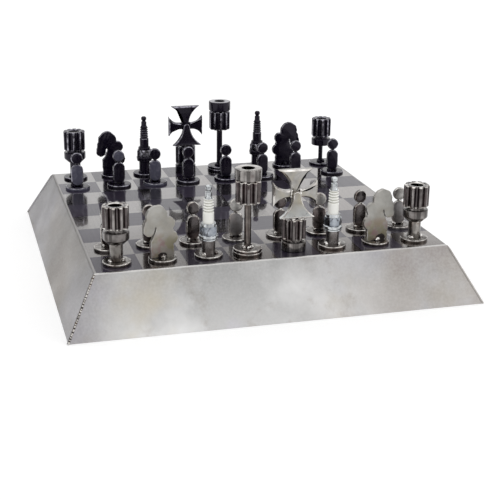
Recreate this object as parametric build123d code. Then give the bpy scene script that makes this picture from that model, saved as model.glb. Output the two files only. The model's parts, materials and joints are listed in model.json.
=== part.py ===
"""Chess set of salvaged machine parts on a hollow sheet-steel board.

The frame: origin under the middle of the board on the table, +Z up, +X to the right along the
silver edge, +Y from the silver men to the black men. Lengths are millimetres, angles degrees.
"""
import os
from math import atan2, cos, degrees, radians, sin, sqrt, tan

from build123d import *

# Board
SQUARE = 44.0              # side of one square
SQUARES_A_SIDE = 8
BOARD_HEIGHT = 55.0        # table to playing face
SKIRT_RUN = 30.0           # how far the skirt leans out from fold to table
SHEET = 1.5                # skirt sheet
FOLD_INNER_RADIUS = 1.0    # inside of the fold at the top of the skirt
HEM = 10.0                 # width of the inward fold that stands on the table
DECK_THICKNESS = 2.0       # plate that carries the squares
TILE_THICKNESS = 0.5       # squares, let into the deck plate
RIM = 0.6                  # bare strip of deck plate round the squares
SEAM_RADIUS = 1.3          # weld bead along a skirt corner

# Shared by the men
FOOT_D = 28.0              # foot washer
FOOT_HOLE_D = 8.4
FOOT_THICKNESS = 3.0
ROD_CLEARANCE = 0.7        # room round a rod in the hole of its washer
EDGE_ROUND = 0.6           # worn edges of washers, slugs and plates
BEAD_RADIUS = 2.3          # weld bead
BEAD_RISE = 0.75           # centre of a bead above, or out from, the face it lies on
BEAD_ANGLES = (90, 205, 335)   # places of the beads round a rod
FIT_GAP = 0.2              # clearance of a rod in its bore
WELD_GAP = 0.4             # gap that a weld bead fills

# Pawn
SLUG_WIDTH = 14.0
SLUG_HEIGHT = 25.6
SLUG_THICKNESS = 4.0
PAWN_HEAD_D = 13.6

# Starter pinions of rooks, queens and kings
TEETH = 10
TOOTH_ROOT_WIDTH = 4.4
TOOTH_TIP_WIDTH = 2.6
TOOTH_DEPTH = 3.4
TOOTH_CHAMFER = 1.2
GROOVE_DEPTH = 0.8         # groove between gear and collar, below the tooth root
PINION_BORE_D = 13.0
BORE_CHAMFER = 0.9

# Rook
ROOK_GEAR_D = 25.8
ROOK_GEAR_HEIGHT = 23.0
ROOK_GROOVE = 2.6
ROOK_COLLAR_D = 25.4
ROOK_COLLAR_HEIGHT = 7.6
ROOK_CONE_HEIGHT = 4.6
ROOK_CONE_FOOT_D = 16.0
ROOK_SHANK_HEIGHT = 17.5
ROD_GRIP = 14.0            # length of a shank or rod inside its pinion

# The one rook on a thin rod
LEAN_ROD_D = 5.4
LEAN_ROD_HEIGHT = 22.0
LEAN_GEAR_D = 24.2
LEAN_COLLAR_D = 23.6
LEAN_COLLAR_HEIGHT = 8.2

# Queen
QUEEN_FOOT_D = 29.5
QUEEN_FEET = 2
QUEEN_ROD_D = 7.0
QUEEN_ROD_HEIGHT = 45.5
QUEEN_GEAR_D = 25.4
QUEEN_GEAR_HEIGHT = 22.5
QUEEN_GROOVE = 1.2
QUEEN_COLLAR_D = 26.4
QUEEN_COLLAR_HEIGHT = 10.8

# King
KING_GEAR_D = 24.6
KING_GEAR_HEIGHT = 22.0
KING_GROOVE = 1.6
KING_COLLAR_D = 24.8
KING_COLLAR_HEIGHT = 9.4
CROSS_THICKNESS = 6.5
CROSS_BEVEL = 1.6          # bevel round the front of an upper or side arm
CROSS_WAIST = 8.0
CROSS_UP = 24.5            # cross centre to the end of the upper arm
CROSS_DOWN = 24.5          # cross centre to the top of the gear
CROSS_SIDE = 22.6          # cross centre to the end of a side arm
CROSS_UP_END = 36.0        # width of an arm at its end
CROSS_DOWN_END = 36.0
CROSS_SIDE_END = 25.0
ARM_HOLLOW = 3.2           # how far the sides of an arm bow inwards
LOWER_ARM_BEND = 120.0     # radius of the lower arm's forward sweep
HEEL_GAP = 2.4             # lower arm to gear, bridged by two welds
HEEL_SPREAD = 4.2          # a heel weld from the middle of the arm

# Bishop: spark plug
PLUG_THREAD_D = 13.2
PLUG_THREAD_LENGTH = 14.2
PLUG_FLANGE_D = 19.0
PLUG_FLANGE_HEIGHT = 5.6
PLUG_HEX = 16.0            # across the flats
PLUG_HEX_HEIGHT = 8.2
PLUG_CRIMP_D = 14.4
PLUG_CRIMP_HEIGHT = 3.2
INSULATOR_D = 10.8
INSULATOR_HEIGHT = 24.0    # above the crimp
INSULATOR_SEAT = 9.0       # length held in the shell
INSULATOR_TOP_D = 9.6
RIBS = 5
RIB_PITCH = 2.7
RIB_DEPTH = 0.8
RIB_SLOPE = 0.9            # sloping side of the groove between two ribs
RIB_VALLEY = 0.45          # flat bottom of that groove
STUD_D = 4.0
STUD_LENGTH = 6.0          # stud inside the insulator
TERMINAL_SKIRT_D = 8.0
TERMINAL_SKIRT_HEIGHT = 2.2
TERMINAL_BARREL_D = 6.4
TERMINAL_BARREL_HEIGHT = 4.6
TERMINAL_WAIST_D = 4.4
TERMINAL_WAIST_HEIGHT = 1.5
TERMINAL_KNOB_D = 6.4
TERMINAL_KNOB_HEIGHT = 5.0
TERMINAL_ROUND = 1.2       # bevel round the top of the knob

# Knight: horse head cut from plate, looking along +X, heights above the foot washer
KNIGHT_THICKNESS = 4.0
HEAD_CENTRE = (5.8, 41.6)
HEAD_RADIUS = 10.7
MUZZLE_TOP = (12.8, 35.2)
MUZZLE_END = (14.0, 27.6)
MUZZLE_RADIUS = 5.6
CREST_CENTRE = (-5.9, 33.0)    # upper lobe of the mane
CREST_RADIUS = 6.8
SADDLE = (-11.6, 26.0)         # bottom of the dip between the two lobes
MANE_CENTRE = (-8.2, 18.6)     # lower lobe of the mane
MANE_RADIUS = 7.1
KNIGHT_FOOT_BACK = -11.4       # neck at the washer
KNIGHT_FOOT_FRONT = 12.3
CHEST = (12.6, 9.5)
BREAST = (12.4, 17.5)
THROAT = (6.4, 32.0)
THROAT_HOLLOW = 1.9            # how far the throat bows back between breast and jaw
NAPE = (-4.5, 45.0)
BACK_HOLLOW = (-11.2, 11.0)    # back of the neck under the mane
NOTCH_ROUND = 0.5              # rounding of the notches between the lobes

# Hand placing on the squares: sideways shift, as a share of the room beside the foot, and turn
PLACING = {
    "a1": (0.09, 0), "b1": (0.16, 10), "c1": (0.32, 12), "d1": (-0.28, 5),
    "e1": (0.15, 0), "f1": (-0.29, -8), "g1": (0.02, 10), "h1": (-0.23, 14),
    "a2": (-0.13, 4), "b2": (-0.39, -6), "c2": (-0.38, 5), "d2": (-0.3, -9),
    "e2": (0.0, 3), "f2": (-0.15, -12), "g2": (-0.1, 6), "h2": (-0.13, -4),
    "a7": (-0.28, -4), "b7": (0.31, 3), "c7": (0.2, -7), "d7": (-0.3, 6),
    "e7": (0.0, -3), "f7": (0.2, 8), "g7": (-0.05, 5), "h7": (0.44, -5),
    "a8": (0.14, 9), "b8": (0.27, 0), "c8": (-0.36, 10), "d8": (0.51, 0),
    "e8": (0.39, 12), "f8": (0.9, 4), "g8": (-0.19, 3), "h8": (0.43, 7),
}
BACK_ROW = {
    "silver": ["rook", "knight", "bishop", "queen", "king", "bishop", "knight", "rook"],
    "black": ["rook", "knight", "bishop", "king", "queen", "bishop", "knight", "rook"],
}
LEFT_FACING = ("b1", "b8")
LEAN_ROOK_SQUARE = "h8"

# Worked out from the sizes above
FILES = "abcdefgh"
SKIRT_TURN = atan2(BOARD_HEIGHT, SKIRT_RUN)
FOLD_RADIUS = FOLD_INNER_RADIUS + SHEET
RIM_HALF = SQUARES_A_SIDE * SQUARE / 2 + RIM
TOP_HALF = RIM_HALF + FOLD_RADIUS * tan(SKIRT_TURN / 2)
BASE_HALF = TOP_HALF + SKIRT_RUN
SHANK_D = PINION_BORE_D - 2 * FIT_GAP
SIDE_ROOM = (SQUARE - FOOT_D) / 2
BEYOND = 4 * BASE_HALF     # larger than the whole set, for blocks that only cut
STANDING = (Align.CENTER, Align.CENTER, Align.MIN)
HANGING = (Align.CENTER, Align.CENTER, Align.MAX)
FRONT_PLANE = Plane(origin=(0, 0, 0), x_dir=(0, -1, 0), z_dir=(-1, 0, 0))


def turned(points):
    """Solid of revolution about Z from (radius, height) points."""
    outline = Polyline([(radius, 0, height) for radius, height in points], close=True)
    return revolve(make_face(outline), Axis.Z)


def upright_plate(sketch, thickness):
    """Plate of a sketch drawn in X and Z, centred on y = 0, with worn edges."""
    plate = extrude(Plane.XZ * sketch, amount=thickness / 2, both=True)
    rims = plate.faces().filter_by(Axis.Y).edges()
    return fillet(rims, EDGE_ROUND)


def above(height):
    """Block that keeps what lies above a height."""
    return Pos(0, 0, height) * Box(BEYOND, BEYOND, BEYOND, align=STANDING)


def deck_plate():
    """Plate under the squares, with a shallow bed for them."""
    field = SQUARES_A_SIDE * SQUARE
    plate = Box(2 * RIM_HALF, 2 * RIM_HALF, DECK_THICKNESS, align=HANGING)
    bed = Box(field, field, TILE_THICKNESS, align=HANGING)
    return Pos(0, 0, BOARD_HEIGHT) * (plate - bed)


def square_centre(column, row):
    """Middle of a square, counted from the front left corner."""
    offset = (SQUARES_A_SIDE - 1) / 2
    return (column - offset) * SQUARE, (row - offset) * SQUARE


def tiles(parity):
    """The squares of one colour: parity 0 holds the front left corner."""
    tile = Box(SQUARE, SQUARE, TILE_THICKNESS, align=HANGING)
    places = []
    for column in range(SQUARES_A_SIDE):
        for row in range(SQUARES_A_SIDE):
            if (column + row) % 2 == parity:
                places.append((*square_centre(column, row), BOARD_HEIGHT))
    return [Pos(*place) * tile for place in places]


def fold_end(radius):
    """Where the fold, at a radius from its centre, runs into the slope: (outward, height)."""
    outward = RIM_HALF + radius * sin(SKIRT_TURN)
    height = BOARD_HEIGHT - FOLD_RADIUS + radius * cos(SKIRT_TURN)
    return outward, height


def skirt_panel():
    """Front panel: fold, slope and hem in one bent sheet, mitred at both ends."""
    centre = (RIM_HALF, BOARD_HEIGHT - FOLD_RADIUS)
    turn = degrees(SKIRT_TURN)
    inner_end = fold_end(FOLD_INNER_RADIUS)
    slope_foot = inner_end[0] + (inner_end[1] - SHEET) / tan(SKIRT_TURN)
    outer_fold = CenterArc(centre, FOLD_RADIUS, 90, -turn)
    inner_fold = CenterArc(centre, FOLD_INNER_RADIUS, 90, -turn)
    outer_run = Polyline(outer_fold @ 1, (BASE_HALF, 0), (BASE_HALF - HEM, 0), (BASE_HALF - HEM, SHEET))
    inner_run = Polyline((BASE_HALF - HEM, SHEET), (slope_foot, SHEET), inner_fold @ 1)
    lip = Line(inner_fold @ 0, outer_fold @ 0)
    section = make_face([outer_fold, outer_run, inner_run, inner_fold, lip])
    sheet = extrude(FRONT_PLANE * section, amount=BASE_HALF, both=True)
    corners = Polygon((0, 0), (-BASE_HALF, -BASE_HALF), (BASE_HALF, -BASE_HALF), align=None)
    return sheet & extrude(corners, BOARD_HEIGHT)


def corner_seam(left_panel, right_panel):
    """Weld bead along the front right corner of the skirt, on the two panels that it joins."""
    outward, height = fold_end(FOLD_RADIUS)
    top = Vector(outward, -outward, height)
    foot = Vector(BASE_HALF, -BASE_HALF, 0)
    length = (top - foot).length
    rod = extrude(Plane(origin=top, z_dir=foot - top) * Circle(SEAM_RADIUS), 2 * length)
    return (rod & above(0)) - left_panel - right_panel


def foot_washer(diameter=FOOT_D, hole_d=FOOT_HOLE_D):
    """Foot washer standing on z = 0."""
    ring = Cylinder(diameter / 2, FOOT_THICKNESS, align=STANDING)
    ring = ring - Cylinder(hole_d / 2, FOOT_THICKNESS, align=STANDING)
    return fillet(ring.edges().filter_by(GeomType.CIRCLE), EDGE_ROUND)


def bead(x, y, z):
    """Blob of weld metal before the pieces it joins are cut from it."""
    return Pos(x, y, z) * Sphere(BEAD_RADIUS)


def rod_beads(rod, diameter, height):
    """Weld blobs round the foot of a rod, on the face at a height."""
    blobs = []
    reach = diameter / 2 + BEAD_RISE
    for angle in BEAD_ANGLES:
        turn = radians(angle)
        blob = bead(reach * cos(turn), reach * sin(turn), height + BEAD_RISE)
        blobs.append((blob & above(height)) - rod)
    return blobs


def pawn():
    """Washer, upright slug and round head, held by three welds."""
    radius = SLUG_WIDTH / 2
    body_middle = FOOT_THICKNESS + SLUG_HEIGHT / 2
    neck = FOOT_THICKNESS + SLUG_HEIGHT + WELD_GAP / 2
    head_middle = neck + WELD_GAP / 2 + PAWN_HEAD_D / 2
    slot = Pos(0, body_middle) * Rot(0, 0, 90) * SlotOverall(SLUG_HEIGHT, SLUG_WIDTH)
    body = upright_plate(slot, SLUG_THICKNESS)
    head = upright_plate(Pos(0, head_middle) * Circle(PAWN_HEAD_D / 2), SLUG_THICKNESS)
    neck_weld = bead(0, 0, neck) - body - head
    reach = sqrt(radius ** 2 - (radius - BEAD_RISE) ** 2) + BEAD_RISE
    foot_welds = []
    for side in (-1, 1):
        blob = bead(side * reach, 0, FOOT_THICKNESS + BEAD_RISE)
        foot_welds.append((blob & above(FOOT_THICKNESS)) - body)
    return {"": [foot_washer(), body, head, neck_weld, *foot_welds]}


def gear(diameter, height):
    """Toothed rim with chamfered ends, standing on z = 0."""
    tip = diameter / 2
    root = tip - TOOTH_DEPTH
    half_root = TOOTH_ROOT_WIDTH / 2
    half_tip = TOOTH_TIP_WIDTH / 2
    inner = sqrt(root ** 2 - half_root ** 2)
    shoulder = tip - half_tip
    flank = Polygon((0, -half_root), (inner, -half_root), (shoulder, -half_tip),
                    (shoulder, half_tip), (inner, half_root), (0, half_root), align=None)
    tooth = flank + Pos(shoulder, 0) * Circle(half_tip)
    outline = Circle(root)
    for number in range(TEETH):
        outline = outline + Rot(0, 0, number * 360 / TEETH) * tooth
    end = tip - TOOTH_CHAMFER
    envelope = turned([(0, 0), (end, 0), (tip, TOOTH_CHAMFER), (tip, height - TOOTH_CHAMFER),
                       (end, height), (0, height)])
    return extrude(outline, height) & envelope


def pinion(gear_d, gear_height, groove, collar_d, collar_height, cone_height=0, cone_foot_d=None):
    """Starter pinion standing on its collar, not yet bored."""
    foot_d = cone_foot_d or collar_d - 2 * EDGE_ROUND
    rise = cone_height or EDGE_ROUND
    collar_top = cone_height + collar_height
    groove_radius = gear_d / 2 - TOOTH_DEPTH - GROOVE_DEPTH
    gear_foot = collar_top + groove
    sleeve = turned([(0, 0), (foot_d / 2, 0), (collar_d / 2, rise), (collar_d / 2, collar_top - EDGE_ROUND),
                     (collar_d / 2 - EDGE_ROUND, collar_top), (groove_radius, collar_top),
                     (groove_radius, gear_foot + TOOTH_CHAMFER), (0, gear_foot + TOOTH_CHAMFER)])
    return sleeve + Pos(0, 0, gear_foot) * gear(gear_d, gear_height)


def bored(blank, total, rod_d, rod_from_top):
    """Pinion with its wide bore at one end and the bore for its rod at the other."""
    rod_bore = Cylinder(rod_d / 2 + FIT_GAP, total, align=STANDING)
    radius = PINION_BORE_D / 2
    mouth = radius + BORE_CHAMFER
    depth = total - ROD_GRIP
    wide = turned([(0, 0), (radius, 0), (radius, depth - BORE_CHAMFER), (mouth, depth), (0, depth)])
    if rod_from_top:
        wide = Pos(0, 0, depth) * Rot(180, 0, 0) * wide
    else:
        wide = Pos(0, 0, ROD_GRIP) * wide
    return blank - rod_bore - wide


def shank(diameter, start, length):
    """Straight rod."""
    return Pos(0, 0, start) * Cylinder(diameter / 2, length, align=STANDING)


def rook():
    """Pinion on a shank that stands on a washer."""
    total = ROOK_CONE_HEIGHT + ROOK_COLLAR_HEIGHT + ROOK_GROOVE + ROOK_GEAR_HEIGHT
    blank = pinion(ROOK_GEAR_D, ROOK_GEAR_HEIGHT, ROOK_GROOVE, ROOK_COLLAR_D, ROOK_COLLAR_HEIGHT,
                   ROOK_CONE_HEIGHT, ROOK_CONE_FOOT_D)
    head = bored(blank, total, SHANK_D, False)
    rod = shank(SHANK_D, FOOT_THICKNESS, ROOK_SHANK_HEIGHT + ROD_GRIP)
    beads = rod_beads(rod, SHANK_D, FOOT_THICKNESS)
    return {"foot": [foot_washer(), rod, *beads],
            "pinion": [Pos(0, 0, FOOT_THICKNESS + ROOK_SHANK_HEIGHT) * head]}


def lean_rook():
    """The rook on a thin rod through its washer, with a slimmer pinion."""
    total = LEAN_COLLAR_HEIGHT + ROOK_GROOVE + ROOK_GEAR_HEIGHT
    blank = pinion(LEAN_GEAR_D, ROOK_GEAR_HEIGHT, ROOK_GROOVE, LEAN_COLLAR_D, LEAN_COLLAR_HEIGHT)
    head = bored(blank, total, LEAN_ROD_D, False)
    rod = shank(LEAN_ROD_D, 0, FOOT_THICKNESS + LEAN_ROD_HEIGHT + ROD_GRIP)
    beads = rod_beads(rod, LEAN_ROD_D, FOOT_THICKNESS)
    washer = foot_washer(FOOT_D, LEAN_ROD_D + 2 * ROD_CLEARANCE)
    return {"foot": [washer, rod, *beads],
            "pinion": [Pos(0, 0, FOOT_THICKNESS + LEAN_ROD_HEIGHT) * head]}


def queen():
    """Upside-down pinion on a rod through two stacked washers."""
    foot_top = QUEEN_FEET * FOOT_THICKNESS
    total = QUEEN_COLLAR_HEIGHT + QUEEN_GROOVE + QUEEN_GEAR_HEIGHT
    blank = pinion(QUEEN_GEAR_D, QUEEN_GEAR_HEIGHT, QUEEN_GROOVE, QUEEN_COLLAR_D, QUEEN_COLLAR_HEIGHT)
    head = bored(blank, total, QUEEN_ROD_D, True)
    flipped = Pos(0, 0, foot_top + QUEEN_ROD_HEIGHT + total) * Rot(180, 0, 0) * head
    washer = foot_washer(QUEEN_FOOT_D, QUEEN_ROD_D + 2 * ROD_CLEARANCE)
    washers = [Pos(0, 0, level * FOOT_THICKNESS) * washer for level in range(QUEEN_FEET)]
    rod = shank(QUEEN_ROD_D, 0, foot_top + QUEEN_ROD_HEIGHT + ROD_GRIP)
    beads = rod_beads(rod, QUEEN_ROD_D, foot_top)
    return {"stand": [*washers, rod, *beads], "pinion": [flipped]}


def flared_arm(foot, length, end):
    """Cross arm along +Y from y = foot: waist at the foot, wide at the end, with hollow sides."""
    waist = CROSS_WAIST / 2
    left = SagittaArc((-waist, foot), (-end / 2, length), -ARM_HOLLOW)
    tip = Line((-end / 2, length), (end / 2, length))
    right = SagittaArc((end / 2, length), (waist, foot), -ARM_HOLLOW)
    base = Line((waist, foot), (-waist, foot))
    return make_face([left, tip, right, base])


def bevelled_plate(sketch):
    """Plate of a cross arm drawn in X and Z, centred on y = 0, with its front edges bevelled."""
    plate = extrude(Plane.XZ * sketch, amount=CROSS_THICKNESS / 2, both=True)
    front = plate.faces().sort_by(Axis.Y)[0]
    return chamfer(front.edges(), CROSS_BEVEL)


def king():
    """Pinion on its collar, with a cross of four plates welded on top."""
    total = KING_COLLAR_HEIGHT + KING_GROOVE + KING_GEAR_HEIGHT
    blank = pinion(KING_GEAR_D, KING_GEAR_HEIGHT, KING_GROOVE, KING_COLLAR_D, KING_COLLAR_HEIGHT)
    base = bored(blank, total, SHANK_D, False)
    middle = total + CROSS_DOWN
    waist = CROSS_WAIST / 2
    hub = Rectangle(CROSS_WAIST, CROSS_WAIST)
    upper = bevelled_plate(Pos(0, middle) * (flared_arm(waist, CROSS_UP, CROSS_UP_END) + hub))
    side = flared_arm(waist, CROSS_SIDE, CROSS_SIDE_END)
    right = bevelled_plate(Pos(0, middle) * Rot(0, 0, -90) * side)
    left = bevelled_plate(Pos(0, middle) * Rot(0, 0, 90) * side)
    lower = lower_arm(middle)
    plates = [upper, left, right, lower]
    hub_height = middle + BEAD_RADIUS
    beads = [hub_bead(waist, hub_height, Align.MIN), hub_bead(-waist, hub_height, Align.MAX)]
    heels = [heel_bead(side * HEEL_SPREAD, total, lower) for side in (-1, 1)]
    return {"pinion": [base], "cross": [*plates, *beads, *heels]}


def hub_bead(x, height, outward):
    """Weld in the corner between the lower arm's side and the front of a side arm."""
    front = -CROSS_THICKNESS / 2
    corner = Box(BEYOND, BEYOND, BEYOND, align=(outward, Align.MAX, Align.CENTER))
    return bead(x, front, height) & Pos(x, front, height) * corner


def heel_bead(x, height, arm):
    """Weld between the top of the gear and the end of the lower arm."""
    drop = CROSS_DOWN - HEEL_GAP
    sweep = LOWER_ARM_BEND - sqrt(LOWER_ARM_BEND ** 2 - drop ** 2)
    blob = bead(x, -CROSS_THICKNESS - sweep, height + BEAD_RISE)
    return (blob & above(height)) - arm


def lower_arm(middle):
    """Lower arm of the cross, in front of the others, swept forward towards the gear."""
    arm = flared_arm(0, CROSS_DOWN - HEEL_GAP, CROSS_DOWN_END)
    sketch = Rot(0, 0, 180) * arm + Circle(CROSS_WAIST / 2)
    block = extrude(Plane.XZ * Pos(0, middle) * sketch, amount=LOWER_ARM_BEND)
    axis = Location((0, -CROSS_THICKNESS - LOWER_ARM_BEND, middle), (0, 90, 0))
    shell = Cylinder(LOWER_ARM_BEND + CROSS_THICKNESS / 2, BEYOND)
    shell = shell - Cylinder(LOWER_ARM_BEND - CROSS_THICKNESS / 2, BEYOND)
    return block & (axis * shell)


def plug_shell():
    """Spark-plug shell: thread, flange, hexagon and crimp, with the seat of the insulator."""
    flange = PLUG_THREAD_LENGTH
    hexagon = flange + PLUG_FLANGE_HEIGHT
    crimp = hexagon + PLUG_HEX_HEIGHT
    top = crimp + PLUG_CRIMP_HEIGHT
    thread_r = PLUG_THREAD_D / 2
    flange_r = PLUG_FLANGE_D / 2
    crimp_r = PLUG_CRIMP_D / 2
    body = turned([(0, 0), (thread_r, 0), (thread_r, flange), (flange_r - EDGE_ROUND, flange),
                   (flange_r, flange + EDGE_ROUND), (flange_r, hexagon - EDGE_ROUND),
                   (flange_r - EDGE_ROUND, hexagon), (crimp_r, hexagon), (crimp_r, top - EDGE_ROUND),
                   (crimp_r - EDGE_ROUND, top), (0, top)])
    nut = Pos(0, 0, hexagon) * extrude(RegularPolygon(PLUG_HEX / 2, 6, major_radius=False), PLUG_HEX_HEIGHT)
    bore = INSULATOR_D / 2 + FIT_GAP
    seat = Pos(0, 0, top) * Cylinder(bore, INSULATOR_SEAT, align=HANGING)
    return body + nut - seat, top


def insulator():
    """Ceramic body with ribs under its top, standing on its seat at z = 0."""
    top = INSULATOR_SEAT + INSULATOR_HEIGHT
    outer = INSULATOR_D / 2
    points = [(STUD_D / 2 + FIT_GAP, top - STUD_LENGTH), (0, top - STUD_LENGTH), (0, 0), (outer, 0)]
    first = top - RIBS * RIB_PITCH
    for rib in range(RIBS):
        start = first + rib * RIB_PITCH
        points.append((outer, start))
        points.append((outer - RIB_DEPTH, start + RIB_SLOPE))
        points.append((outer - RIB_DEPTH, start + RIB_SLOPE + RIB_VALLEY))
    points.append((INSULATOR_TOP_D / 2, top))
    points.append((STUD_D / 2 + FIT_GAP, top))
    return turned(points)


def terminal():
    """Terminal nut on its stud, with its skirt on the insulator at z = 0."""
    barrel = TERMINAL_SKIRT_HEIGHT
    waist = barrel + TERMINAL_BARREL_HEIGHT
    knob = waist + TERMINAL_WAIST_HEIGHT
    top = knob + TERMINAL_KNOB_HEIGHT
    knob_r = TERMINAL_KNOB_D / 2
    return turned([(0, -STUD_LENGTH), (STUD_D / 2, -STUD_LENGTH), (STUD_D / 2, 0), (TERMINAL_SKIRT_D / 2, 0),
                   (TERMINAL_BARREL_D / 2, barrel), (TERMINAL_BARREL_D / 2, waist),
                   (TERMINAL_WAIST_D / 2, waist), (TERMINAL_WAIST_D / 2, knob), (knob_r, knob + EDGE_ROUND),
                   (knob_r, top - TERMINAL_ROUND), (knob_r - TERMINAL_ROUND, top), (0, top)])


def bishop():
    """Spark plug welded on a washer."""
    shell, shell_top = plug_shell()
    rod = shank(PLUG_THREAD_D, FOOT_THICKNESS, PLUG_THREAD_LENGTH)
    beads = rod_beads(rod, PLUG_THREAD_D, FOOT_THICKNESS)
    seat = FOOT_THICKNESS + shell_top - INSULATOR_SEAT
    crown = seat + INSULATOR_SEAT + INSULATOR_HEIGHT
    return {"foot": [foot_washer(), *beads],
            "plug": [Pos(0, 0, FOOT_THICKNESS) * shell, Pos(0, 0, crown) * terminal()],
            "insulator": [Pos(0, 0, seat) * insulator()]}


def horse_head():
    """Outline of the horse head in X and Z, looking along +X, standing on z = 0."""
    throat = SagittaArc(BREAST, THROAT, THROAT_HOLLOW)
    neck = make_face([Polyline((KNIGHT_FOOT_FRONT, 0), CHEST, BREAST), throat,
                      Polyline(THROAT, HEAD_CENTRE, NAPE, CREST_CENTRE, SADDLE, MANE_CENTRE,
                               BACK_HOLLOW, (KNIGHT_FOOT_BACK, 0), (KNIGHT_FOOT_FRONT, 0))])
    jaw = Line(MUZZLE_TOP, MUZZLE_END)
    muzzle = SlotCenterToCenter(jaw.length, 2 * MUZZLE_RADIUS)
    lean = degrees(atan2(MUZZLE_END[1] - MUZZLE_TOP[1], MUZZLE_END[0] - MUZZLE_TOP[0]))
    muzzle = Pos(*(jaw @ 0.5)) * Rot(0, 0, lean) * muzzle
    lobes = [(HEAD_CENTRE, HEAD_RADIUS), (CREST_CENTRE, CREST_RADIUS), (MANE_CENTRE, MANE_RADIUS)]
    outline = neck + muzzle
    for centre, radius in lobes:
        outline = outline + Pos(*centre) * Circle(radius)
    return offset(offset(outline, NOTCH_ROUND), -NOTCH_ROUND)


def knight():
    """Horse head cut from plate, welded upright on a washer."""
    plate = Pos(0, 0, FOOT_THICKNESS) * upright_plate(horse_head(), KNIGHT_THICKNESS)
    beads = []
    for side in (-1, 1):
        blob = bead(0, side * (KNIGHT_THICKNESS / 2 + BEAD_RISE), FOOT_THICKNESS + BEAD_RISE)
        beads.append((blob & above(FOOT_THICKNESS)) - plate)
    return {"foot": [foot_washer(), *beads], "plate": [plate]}


def write(name, solids):
    """One STEP file per node."""
    export_step(Compound(children=list(solids)), f"parts/{name}.step")


def write_board():
    """Deck plate, squares, skirt panels and corner welds."""
    write("deck_plate", [deck_plate()])
    write("dark_squares", tiles(0))
    write("light_squares", tiles(1))
    panel = skirt_panel()
    names = ("front_skirt", "right_skirt", "rear_skirt", "left_skirt")
    for quarter, name in enumerate(names):
        write(name, [Rot(0, 0, 90 * quarter) * panel])
    seam = corner_seam(panel, Rot(0, 0, 90) * panel)
    write("corner_welds", [Rot(0, 0, 90 * quarter) * seam for quarter in range(4)])


def write_men():
    """All 32 men on their squares."""
    makers = {"pawn": pawn, "rook": rook, "lean_rook": lean_rook, "knight": knight, "bishop": bishop,
              "queen": queen, "king": king}
    models = {kind: make() for kind, make in makers.items()}
    rows = [("silver", 0, BACK_ROW["silver"]), ("silver", 1, ["pawn"] * SQUARES_A_SIDE),
            ("black", SQUARES_A_SIDE - 2, ["pawn"] * SQUARES_A_SIDE),
            ("black", SQUARES_A_SIDE - 1, BACK_ROW["black"])]
    for colour, row, kinds in rows:
        for column, kind in enumerate(kinds):
            square = f"{FILES[column]}{row + 1}"
            shift, turn = PLACING[square]
            x, y = square_centre(column, row)
            if square in LEFT_FACING:
                turn = turn + 180
            place = Location((x + shift * SIDE_ROOM, y, BOARD_HEIGHT), (0, 0, turn))
            model = models["lean_rook" if square == LEAN_ROOK_SQUARE else kind]
            for piece, solids in model.items():
                name = "_".join(word for word in (colour, kind, square, piece) if word)
                write(name, [place * solid for solid in solids])


def main():
    os.makedirs("parts", exist_ok=True)
    write_board()
    write_men()


if __name__ == "__main__":
    main()
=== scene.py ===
"""Looks of the chess set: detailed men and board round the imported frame, in a white studio.

Men are modelled in millimetres, each standing on z = 0 at its own centre, and then set on their
squares. Every finish is procedural.
"""
import json
import random
from math import atan2, ceil, cos, degrees, pi, radians, sin, sqrt

import bpy
from mathutils import Matrix, Vector, noise


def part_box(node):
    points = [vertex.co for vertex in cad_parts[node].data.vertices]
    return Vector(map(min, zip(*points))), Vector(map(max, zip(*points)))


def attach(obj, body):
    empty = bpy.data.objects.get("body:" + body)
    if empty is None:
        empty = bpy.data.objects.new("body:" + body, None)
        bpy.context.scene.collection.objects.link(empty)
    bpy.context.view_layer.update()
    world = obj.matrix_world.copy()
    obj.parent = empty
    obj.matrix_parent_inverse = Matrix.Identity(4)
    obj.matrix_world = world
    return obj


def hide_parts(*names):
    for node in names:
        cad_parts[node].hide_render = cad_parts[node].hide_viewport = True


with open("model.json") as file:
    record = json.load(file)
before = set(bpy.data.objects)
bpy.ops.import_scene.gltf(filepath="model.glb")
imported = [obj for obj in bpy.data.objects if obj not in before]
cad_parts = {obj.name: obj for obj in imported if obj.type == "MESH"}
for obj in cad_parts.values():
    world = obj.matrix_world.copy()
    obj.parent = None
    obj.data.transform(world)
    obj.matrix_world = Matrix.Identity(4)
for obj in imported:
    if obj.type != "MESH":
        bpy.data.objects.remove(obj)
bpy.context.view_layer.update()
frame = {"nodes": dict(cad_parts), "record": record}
bodies = frame["record"]["behaviour"]["bodies"]
slots = {entry["node"]: entry["material_slot"] for entry in frame["record"]["subparts"]}

# Camera
CAMERA_AT = (-0.3035, -1.1437, 0.4189)
CAMERA_AZIMUTH = 15.90         # degrees from +Y towards +X
CAMERA_DROP = 19.35            # degrees below level
CAMERA_ROLL = 0.75
CAMERA_LENS = 80.0             # millimetres
SENSOR_WIDTH = 36.0
CAMERA_REACH = 30.0

# Studio, in metres
AMBIENT = 1.0                  # light of the white room on the object
FLOOR_SIZE = 12.0
FLOOR_DROP = 0.0003            # keeps the floor clear of the hem
FLOOR_GREY = 0.80
FLOOR_GLOW = (0.31, 0.50)      # what the floor adds to reach white, near the board and far from it
FLOOR_NEAR = (0.4, 2.0)        # distances of near and far
BOARD_MIDDLE = (0.0, 0.0, 0.05)
CARD_WARMTH = (1.0, 0.95, 0.92)
# Place, width, height and power of each lamp
LAMPS = {
    "top_light": ((0.1, 0.2, 1.9), 2.2, 2.0, 7.0),
    "key_light": ((2.0, -1.0, 1.3), 0.45, 0.6, 3.0),
}
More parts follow.
